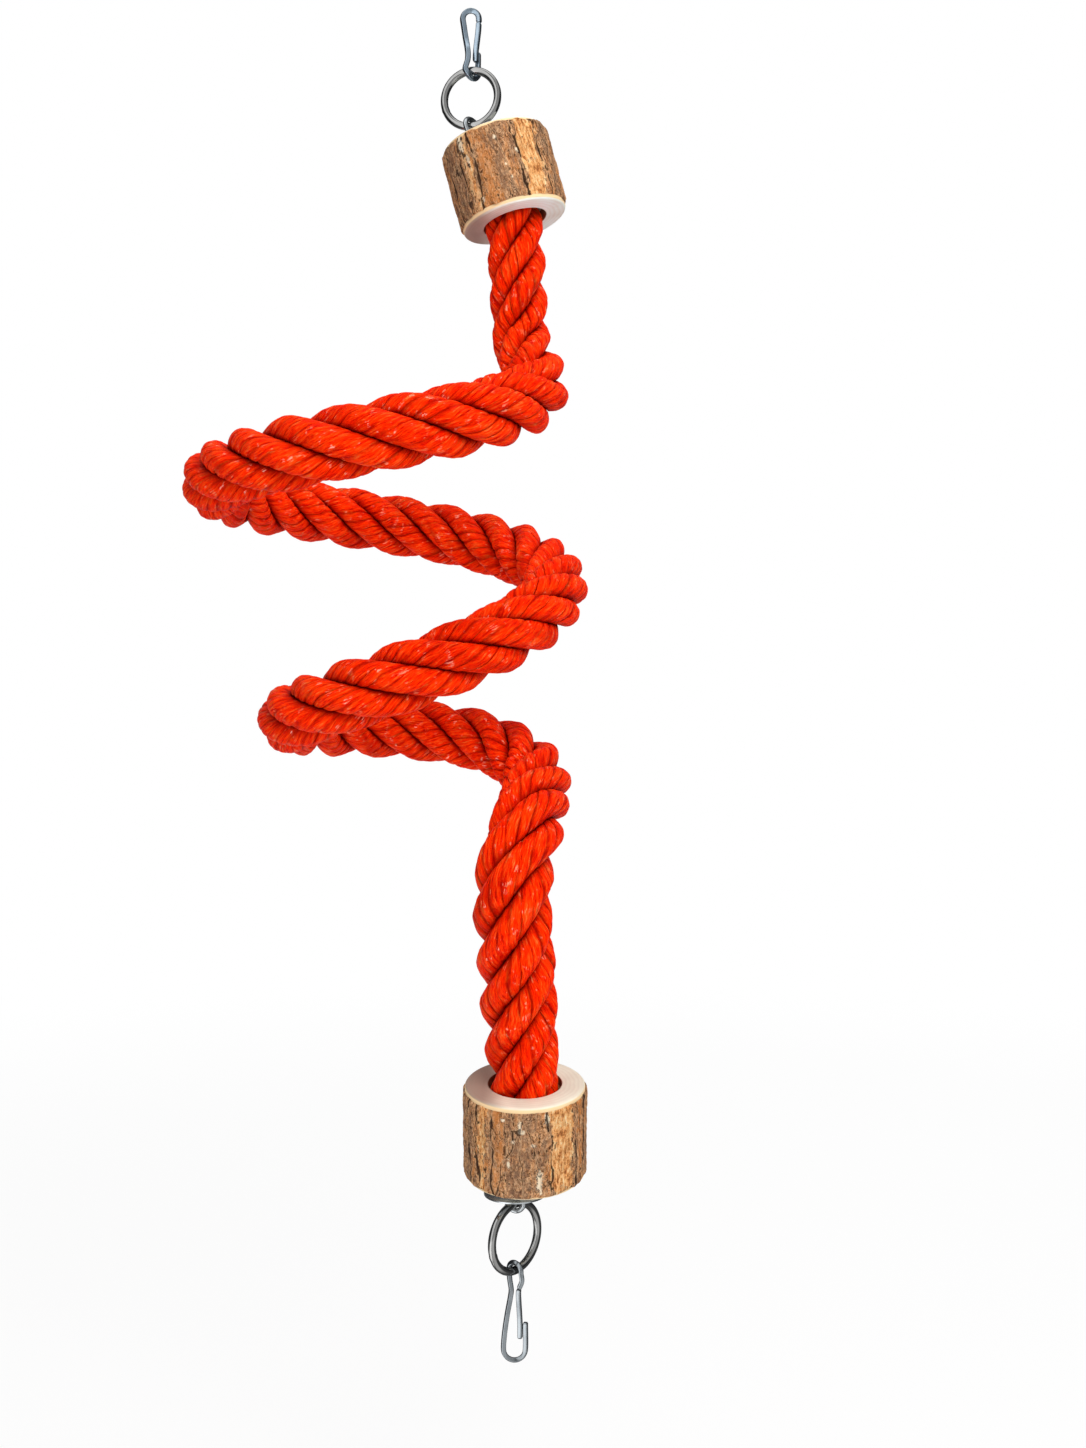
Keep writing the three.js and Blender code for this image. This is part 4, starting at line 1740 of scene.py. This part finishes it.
UPPER_LOG = LogBlock(
    end=UPPER,
    strips=bands((31, 11, 1, 1), (-38, 4.5, 0.9, 2), (100, 9, 1, 4), (168, 7, 1, 5), (-120, 6, 1, 6)),
    warm=bands((-18, 8, 0.9, 7), (10, 5, 0.7, 8), (140, 12, 0.8, 9)),
    cool=bands((-1, 6, 0.8, 42), (18, 4, 0.7, 43), (-60, 10, 0.9, 44), (60, 6, 0.8, 45)),
    cracks=bands(
        (-31, 1.3, 1, 10), (-46, 0.9, 0.9, 11, 0.06), (16, 1.3, 1, 12, -0.05), (2, 0.5, 0.6, 18, -0.15),
        (45, 1.2, 1, 13), (58, 0.8, 0.9, 20, 0.05), (82, 1, 0.9, 14), (-66, 0.9, 0.9, 41, -0.05),
        (-90, 1.2, 0.9, 15), (-150, 1, 0.9, 16), (150, 1, 0.9, 17),
    ),
    chips=(
        (-40, 66, 3.2, 11), (17, 44, 2.0, 3), (-30, 12, 1.8, 3), (-36, 50, 1.8, 7),
        (5, 22, 1.5, 2), (-2, 60, 1.6, 2), (2, 34, 1.4, 1.6),
    ),
    # Painted light: this face is brighter and cooler than the lower block's, making up for the dim light
    # under the upper block and the rope's red bounce.
    face=tone(242, 253, 250),
    seed=11,
)
LOWER_LOG = LogBlock(
    end=LOWER,
    strips=bands((38, 12, 1, 21), (-43, 4.5, 1, 22), (110, 7, 1, 23), (-110, 10, 1, 24), (175, 6, 1, 25)),
    warm=bands((-24, 5, 0.7, 26), (62, 6, 0.7, 27), (-150, 10, 0.8, 28)),
    cool=bands((-6, 13, 0.9, 46), (-66, 8, 0.9, 47), (29, 3, 1, 48), (62, 5, 0.6, 49)),
    cracks=bands(
        (-31, 0.8, 0.8, 29), (-14, 0.6, 0.8, 30, -0.38), (-6, 0.4, 0.7, 37, 0.08),
        (24, 1.1, 0.9, 31, 0.04), (9, 0.4, 0.7, 38, 0.3), (54, 0.9, 0.9, 32), (-62, 0.9, 0.9, 33, 0.06),
        (-50, 0.8, 0.9, 39), (70, 0.8, 0.9, 40), (90, 1.1, 0.9, 34), (-90, 1, 0.9, 35), (140, 1, 0.9, 36),
    ),
    chips=(
        (-4, 17, 2.0, 6), (-2, 21, 3.4, 1.8), (14, 67, 3.4, 12), (21, 11, 2.6, 8),
        (-14, 51, 1.6, 5), (8, 34, 2.6, 1.6), (-20, 11, 2.4, 1.4), (-10, 30, 1.4, 2.6),
    ),
    face=tone(238, 234, 214),
    seed=23,
)


@dataclass
class EndFittings:
    """What sits at one rope end: its tape wrap and crimp sleeve; sizes are in millimetres."""

    end: End
    tape: Material
    steel: Material
    tape_width: float = 22.0
    tape_thick: float = 0.25
    tape_play: float = 0.15
    lap_turn: float = 1.2
    lap_lift: float = 0.3
    unevenness: float = 0.2
    tape_seed: int = 77
    sleeve_play: float = 0.6
    sleeve_wall: float = 1.2
    sleeve_edge: float = 0.35

    def build(self) -> None:
        """Make the tape wrap and the crimp sleeve."""
        self._tape()
        self._sleeve()

    def _tape(self) -> None:
        """Wrap the rope's end in one and a bit turns of tape, a little uneven."""
        end = self.end
        inner = end.rope_dia / 2 + GAP
        low = end.rope_depth - self.tape_width
        radius = inner + self.tape_play
        wrap = Bench.cylinder(f"{end.side}_tape_wrap", 96, radius, low, end.rope_depth, "NOTHING")
        Bench.edit(wrap)
        bpy.ops.mesh.subdivide(number_cuts=3, quadcorner="INNERVERT")
        bpy.ops.object.mode_set(mode="OBJECT")
        points = Bench.coordinates(wrap)
        turn = np.arctan2(points[:, 1], points[:, 0])
        corner = Bench.corners(wrap)
        Bench.unwrap(wrap, turn[corner] * inner, points[corner, 2] / MM)
        lapped = (turn > 0) & (turn < self.lap_turn)
        uneven = Grain(self.tape_seed).at(turn * 4 + 20, points[:, 2] / MM / 5)
        lift = self.lap_lift * lapped + self.unevenness * uneven
        points[:, :2] *= 1 + (lift * MM / np.hypot(points[:, 0], points[:, 1]))[:, None]
        wrap.data.vertices.foreach_set("co", points.ravel())
        Bench.thicken(wrap, self.tape_thick)
        Bench.smooth(wrap, 35, metres(end.matrix))
        dress(wrap, self.tape, "perch")
        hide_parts(f"{end.side}_end_tape")

    def _sleeve(self) -> None:
        """Press a tube into the crimp sleeve that holds the wire and its tail."""
        end = self.end
        radius, high = WIRE / 2 + self.sleeve_play, end.sleeve_at + SLEEVE_LENGTH
        sleeve = Bench.cylinder(f"{end.side}_crimp_sleeve", 40, radius, end.sleeve_at, high, "NOTHING")
        for vertex in sleeve.data.vertices:
            if vertex.co.x < -1e-6:
                vertex.co.x -= TAIL_SHIFT * MM
        Bench.thicken(sleeve, self.sleeve_wall, self.sleeve_edge)
        Bench.smooth(sleeve, 40, metres(end.matrix @ end.stub))
        dress(sleeve, self.steel, "perch")
        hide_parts(f"{end.side}_sleeve")


# ------------------------------------------------------------------------- links


@dataclass(frozen=True)
class Washer:
    """A flat washer with rounded edges: the body that it is, and its sizes in millimetres."""

    body: str
    radius: float = 28.5
    hole_radius: float = WASHER_HOLE_RADIUS
    thick: float = 1.6
    edge: float = 0.3

    def build(self, place: Matrix, low: float, material: Material) -> None:
        """Inset and open a disc, and give it its thickness.

        Args:
            place: The washer's frame in metres, its axis along Z.
            low: Where its lower face lies, in millimetres.
            material: Its finish.
        """
        plate = Bench.disc(f"{self.body}_plate", self.radius, low)
        Bench.edit(plate)
        bpy.ops.mesh.inset(thickness=(self.radius - self.hole_radius) * MM)
        bpy.ops.mesh.delete(type="FACE")
        bpy.ops.object.mode_set(mode="OBJECT")
        Bench.thicken(plate, self.thick, self.edge)
        Bench.smooth(plate, 40, place)
        dress(plate, material, self.body)
        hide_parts(self.body)


def build_washers(steel: Material) -> None:
    """Lay the upper washer on its block, and seat the lower one over the eye below its block.

    Args:
        steel: Their finish.
    """
    shift = turned(UPPER.eye_turn_deg, "Z") @ Vector((-TAIL_SHIFT / 2, 0, 0))
    on_block = Matrix.Translation((UPPER.stub_x + shift.x, shift.y, UPPER.height))
    Washer("upper_washer").build(metres(UPPER.matrix @ on_block), GAP, steel)
    middle = (LOWER.matrix @ LOWER.stub) @ Vector((-TAIL_SHIFT / 2, 0, LOWER.eye_at))
    middle.z += math.sqrt((EYE_OUTER / 2 + GAP) ** 2 - WASHER_HOLE_RADIUS**2)
    Washer("lower_washer").build(Matrix.Translation(middle * MM), 0, steel)


@dataclass(frozen=True)
class RingSpec:
    """A welded ring: its sizes in millimetres, its middle and how its upright plane is turned."""

    name: str
    outer: float
    wire: float
    turn_deg: float
    centre: tuple[float, float, float]
    weld_at_deg: float = 200.0
    bead_height: float = 0.05
    bead_deg: float = 3.2
    dip_depth: float = 0.02
    dip_at_deg: float = 6.5
    dip_deg: float = 2.0

    @property
    def radius(self) -> float:
        """Return the radius of the bar's centreline."""
        return (self.outer - self.wire) / 2

    def build(self, material: Material) -> None:
        """Bend a round bar into the ring and leave a slight weld low on its side.

        Args:
            material: Its finish.
        """
        Bench.clear()
        bpy.ops.mesh.primitive_torus_add(
            major_segments=144,
            minor_segments=32,
            major_radius=self.radius * MM,
            minor_radius=self.wire / 2 * MM,
        )
        ring = Bench.named(f"{self.name}_bar")
        Bench.settle(ring, turned(90, "X"))
        for vertex in ring.data.vertices:
            angle = math.atan2(vertex.co.z, vertex.co.x)
            off = abs(off_middle(math.degrees(angle), self.weld_at_deg))
            bead = self.bead_height * math.exp(-((off / self.bead_deg) ** 2))
            bead -= self.dip_depth * math.exp(-(((off - self.dip_at_deg) / self.dip_deg) ** 2))
            core = Vector((math.cos(angle), 0, math.sin(angle))) * self.radius * MM
            vertex.co = core + (vertex.co - core) * (1 + bead)
        Bench.smooth(ring, 80, Matrix.Translation(Vector(self.centre) * MM) @ turned(self.turn_deg, "Z"))
        dress(ring, material, self.name)
        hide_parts(self.name)


@dataclass(frozen=True)
class BentWire:
    """Flat-sided spring wire swept along points, its corners rounded; sizes are in millimetres."""

    name: str
    points: Sequence[Vector]
    size: float
    tilt: float = 0.3
    spacing: float = 0.55
    columns: int = 40
    squareness: float = 4.2
    inset: float = 0.985
    end_loss: float = 0.22
    end_reach: float = 0.6

    def _outline(self) -> tuple[Array, Array]:
        """Return the section: a square with large rounded corners, tilted.

        Returns:
            Places across and up, a row each.
        """
        angle = np.arange(self.columns)[None, :] / self.columns * math.tau
        half = self.size / 2 * self.inset
        across, up = (
            np.sign(part) * np.abs(part) ** (2 / self.squareness) * half
            for part in (np.cos(angle), np.sin(angle))
        )
        cosine, sine = math.cos(self.tilt), math.sin(self.tilt)
        return across * cosine - up * sine, across * sine + up * cosine

    def build(self) -> Piece:
        """Sweep the section along the points and round the cut ends.

        Returns:
            The piece.
        """
        line, _ = evenly(through(self.points, 8), self.spacing)
        tangent = line[1] - line[0]
        first = np.eye(3)[np.argmin(np.abs(tangent))]
        sides, others = frames_along(line, np.cross(tangent, np.cross(tangent, first)))
        index = np.arange(len(line))[:, None]
        from_end = np.minimum(index, index[::-1]) * self.spacing
        scale = 1 - self.end_loss * np.exp(-((from_end / self.end_reach) ** 2))
        across, up = self._outline()
        skin = on_rings(line, sides, others, across * scale, up * scale)
        piece = Bench.swept(self.name, skin, self.columns)
        Bench.cap(piece)
        Bench.smooth(piece, 50)
        return piece


def bend(start_deg: float, stop_deg: float) -> list[tuple[float, float, float]]:
    """Return the share, cosine and sine at each of the nine points of a bend.

    Args:
        start_deg: The first angle.
        stop_deg: The last angle.

    Returns:
        A row for each point.
    """
    found = []
    for share in np.linspace(0, 1, 9):
        angle = math.radians(start_deg + (stop_deg - start_deg) * share)
        found.append((share, math.cos(angle), math.sin(angle)))
    return found


@dataclass
class Hooks:
    """Both snap hooks, each with its gate; sizes are in millimetres."""

    upper_wire: float = 4.8
    upper_crown: float = 19.4
    upper_bend: float = 9.2
    upper_length: float = 56.6
    upper_bend_deg: float = 80.0
    upper_bend_from: float = 5.0
    upper_bend_lead: float = 8.2
    lower_wire: float = 4.5
    lower_crown: float = 24.5
    lower_crown_x: float = -0.6
    lower_crown_z: float = -71.8
    lower_bend: float = 9.8
    lower_bend_deg: float = 100.0
    lower_bend_turn_deg: float = -38.0
    link_gap: float = 0.7
    upper_ring: RingSpec = RingSpec("upper_ring", 57.5, 6.9, -14, (0, 0, -77.75))
    lower_ring: RingSpec = RingSpec("lower_ring", 68, 7.5, 48, (40.39, -1.43, -1115.46))

    def build(self, zinc: Material, steel: Material) -> None:
        """Make the four bent wires.

        Args:
            zinc: The upper finish.
            steel: The lower finish.
        """
        root = Vector(self.lower_ring.centre) - Vector((0, 0, self.lower_ring.radius))
        pieces = (
            ("upper_hook", self._upper_hook(), self.upper_wire, zinc, "zinc"),
            ("upper_gate", self._upper_gate(), self.upper_wire, zinc, "zinc"),
            ("lower_hook", [root + p for p in self._lower_hook()], self.lower_wire, steel, "steel"),
            ("lower_gate", [root + p for p in self._lower_gate()], self.lower_wire, steel, "steel"),
        )
        for name, points, size, material, slot in pieces:
            made = BentWire(f"{name}_wire", points, size).build()
            dress(made, material, name)
            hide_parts(name)

    def _upper_hook(self) -> list[Vector]:
        """Return the upper hook's way: lip, half a turn round the ring, arm, crown, root.

        Returns:
            The points.
        """
        half = self.upper_wire / 2
        radius = self.upper_bend / 2 + half
        middle = radius - self.upper_length - half
        turn = turned(self.upper_ring.turn_deg, "Z")
        lip = vectors((6.4, 5.4, -33.8), (6.4, 5.6, -41), (6.2, 6.8, -47.5))
        round_ring = [
            turn @ Vector(
                (self.upper_bend_from - self.upper_bend_lead * share, radius * sine, middle - radius * cosine)
            )
            for share, cosine, sine in bend(self.upper_bend_deg, -self.upper_bend_deg)
        ]
        arm = vectors((-2.6, -6, -45), (-2.3, -5.8, -39.5), (-2.9, -4.6, -34), (-3.9, -1.6, -27.5))
        arm += vectors((-5, 0, -21), (-6.5, 0, -11))
        out = self.upper_crown / 2 - half
        crown = [Vector((out * cosine, 0, half - out * (1 - sine))) for _, cosine, sine in bend(180, 0)]
        return [*lip, *round_ring, *arm, *crown, Vector((out, 0, -8.3))]

    @staticmethod
    def _upper_gate() -> list[Vector]:
        """Return the upper gate's way."""
        top = vectors((7.25, 0, -8.85), (6.9, 0, -15), (6, 0, -23))
        return top + vectors((5, 0, -31), (4.4, 0, -38), (4.2, 0, -44))

    def _lower_hook(self) -> list[Vector]:
        """Return the lower hook's way: lip, crown, arm, over the ring's bar, root.

        Returns:
            The points.
        """
        half = self.lower_wire / 2
        out = self.lower_crown / 2 - half
        crown = [
            Vector((self.lower_crown_x + out * cosine, 0, self.lower_crown_z - out * sine))
            for _, cosine, sine in bend(0, 180)
        ]
        arm = vectors((-9.8, 0, -58.7), (-7, 0, -39), (-4.4, 0.6, -25), (-3.6, 1.6, -18.5), (-4.9, 3.2, -10))
        radius = self.lower_bend / 2 + half
        top = self.lower_ring.wire / 2 + self.link_gap + half
        turn = turned(self.lower_bend_turn_deg, "Z")
        over_bar = [
            turn @ Vector((radius * sine, 0, top - radius * (1 - cosine)))
            for _, cosine, sine in bend(-self.lower_bend_deg, self.lower_bend_deg)
        ]
        lip = Vector((out + self.lower_crown_x, 0, -47.7))
        return [lip, *crown, *arm, *over_bar, *vectors((6.3, -4.6, -8), (3.6, -2.5, -15.6))]

    @staticmethod
    def _lower_gate() -> list[Vector]:
        """Return the lower gate's way."""
        top = vectors((3.4, -2.2, -16.7), (3.1, -1.2, -21), (3.4, 0, -29))
        return top + vectors((4.1, 0, -41), (4.45, 0, -49), (4.45, 0, -62))


# ------------------------------------------------------------------------ studio


class Glow(Enum):
    """What the studio's lamps are for."""

    KEY = "key"
    FILL = "fill"
    TOP = "top"
    RIM = "rim"


@dataclass(frozen=True)
class Lamp:
    """A soft area lamp: place and aim in metres, its size and its power in watts."""

    glow: Glow
    place: tuple[float, float, float]
    size: float
    power: float
    aim: tuple[float, float, float] = (-0.06, 0, -0.62)

    def build(self) -> None:
        """Hang the lamp, aimed at the middle of the perch."""
        data = bpy.data.lights.new(self.glow.value, "AREA")
        data.energy = self.power
        data.size = self.size
        lamp = bpy.data.objects.new(self.glow.value, data)
        toward = Vector(self.aim) - Vector(self.place)
        lamp.rotation_euler = toward.to_track_quat("-Z", "Y").to_euler()
        lamp.location = self.place
        lamp.visible_glossy = False
        bpy.context.scene.collection.objects.link(lamp)


@dataclass
class Studio:
    """Camera, floor, lamps and world; sizes are in metres."""

    camera_place: tuple[float, float, float] = (0.06579, -1.26683, -0.64813)
    lens: float = 34.53
    sensor_height: float = 36.0
    floor_height: float = -1.42
    floor_radius: float = 3.2
    mirrored_to: tuple[float, float, float] = (0.0, 0.0, -1.08)
    lamps: Sequence[Lamp] = (
        Lamp(Glow.KEY, (0.9, -1.7, 0.6), 1.5, 45.0),
        Lamp(Glow.FILL, (-1.1, -1.5, -1.2), 1.6, 12.0),
        Lamp(Glow.TOP, (0.0, -0.1, 1.3), 1.2, 10.0),
        Lamp(Glow.RIM, (0.8, 1.6, -0.2), 1.2, 5.0),
    )

    def build(self) -> None:
        """Set up everything round the object."""
        self._camera()
        self._floor()
        self._world()
        for lamp in self.lamps:
            lamp.build()
        bpy.context.scene.view_settings.view_transform = "Standard"

    def _camera(self) -> None:
        """Stand the camera where the photograph was taken."""
        data = bpy.data.cameras.new("camera")
        data.sensor_fit = "VERTICAL"
        data.sensor_height = self.sensor_height
        data.lens = self.lens
        data.clip_end = 60
        camera = bpy.data.objects.new("camera", data)
        camera.location = self.camera_place
        camera.rotation_euler = (math.pi / 2, 0, 0)
        bpy.context.scene.collection.objects.link(camera)
        bpy.context.scene.camera = camera

    def _floor(self) -> None:
        """Lay a floor: white to the camera but for a faint shadow, soft boxes to metal, pale to light."""
        floor = Bench.disc("studio_floor", self.floor_radius / MM, self.floor_height / MM)
        shader = Shader.named("pale_floor")
        paint = {"Color": (0.93, 0.93, 0.93), "Roughness": 0.0}
        pale = shader.node("ShaderNodeBsdfDiffuse", {}, paint)
        out = Value(shader, shader.vector("LENGTH", shader.object_point(Scale=(1.0, 1.0, 0.0)), "Value"))
        shown = shader.ray("Camera") * (out.step(0.3, 3.0) * 0.15 + 0.85)
        toward = shader.object_point(Location=tuple(-part for part in self.mirrored_to))
        across, away, _ = shader.parts(shader.vector("NORMALIZE", toward, "Vector"))
        boxes = self._boxes(across, away)
        pattern = shader.mix(boxes, (0.1, 0.103, 0.106), (2.3, 2.32, 2.34))
        surface = pale
        for share, colour in ((shader.ray("Glossy"), pattern), (shown, (1.0, 1.0, 1.0))):
            glow = shader.node("ShaderNodeEmission", {}, {"Color": colour, "Strength": 1.0})
            layers = {0: share, 1: surface.outputs[0], 2: glow.outputs[0]}
            surface = shader.node("ShaderNodeMixShader", {}, layers)
        floor.data.materials.append(shader.close(surface))

    @staticmethod
    def _boxes(across: Value, away: Value) -> Value:
        """Return where the soft boxes that metal mirrors stand, by a direction's level parts.

        Args:
            across: The direction's part to the right.
            away: Its part away from the viewer.

        Returns:
            How bright they are, 0 to 1.
        """
        left = across.step(-0.9, -0.7) * across.step(-0.1, -0.3)
        right = across.step(-0.1, 0.0) * across.step(0.9, 0.7)
        return (left + right * 0.4) * away.step(0.1, -0.3).most(away.step(0.68, 0.9) * 0.25)

    def _world(self) -> None:
        """Surround the object with white to the camera, soft boxes to metal and an even light."""
        world = bpy.data.worlds.new("studio")
        bpy.context.scene.world = world
        shader = Shader(world, "ShaderNodeOutputWorld")
        direction = shader.node("ShaderNodeTexCoord", {}, {}).outputs["Generated"]
        across, away, up = shader.parts(direction)
        sky = up.step(0.72, 0.97) * away.step(0.4, 0.0)
        boxes = self._boxes(across, away).most(sky)
        mirrored = shader.mix(boxes, (0.04, 0.042, 0.045), (1.6, 1.62, 1.64))
        soft = shader.mix(up.step(-1.0, 1.0), (0.21, 0.21, 0.21), (0.5, 0.5, 0.5))
        lit = shader.mix(shader.ray("Glossy"), soft, mirrored)
        seen = shader.ray("Camera").most(shader.ray("Transmission"))
        colour = shader.mix(seen, lit, (1.0, 1.0, 1.0))
        shader.close(shader.node("ShaderNodeBackground", {}, {"Color": colour, "Strength": 1.0}))


# -------------------------------------------------------------------------- main


def main() -> None:
    """Build the studio and the perch in order."""
    logging.basicConfig(level=logging.INFO, format="%(message)s")
    Studio().build()
    zinc = MetalFinish("blue_zinc", tone(160, 175, 187), tone(128, 142, 154), 0.24, 0.08).make()
    nickel = MetalFinish("polished_nickel", tone(160, 159, 157), tone(136, 135, 133), 0.12, 0.03).make()
    steel = MetalFinish("plain_steel", tone(184, 188, 190), tone(150, 153, 155), 0.24, 0.06).make()
    bright = MetalFinish("bright_zinc", tone(150, 155, 158), tone(112, 117, 121), 0.2, 0.06).make()
    bark = BarkFinish().make()
    tape = TapeFinish().make()
    glue = GlueFinish().make()
    route = Route()
    LaidRope(route).build()
    CoreWire(route, steel).build()
    for log in (UPPER_LOG, LOWER_LOG):
        log.build(bark)
        EndFittings(log.end, tape, steel).build()
        bed = bpy.data.objects[f"{log.end.side}_glue_bed"]
        for slot in bed.material_slots:
            slot.material = glue
    build_washers(steel)
    hooks = Hooks()
    hooks.upper_ring.build(nickel)
    hooks.lower_ring.build(nickel)
    hooks.build(zinc, bright)


if __name__ == "__main__":
    main()
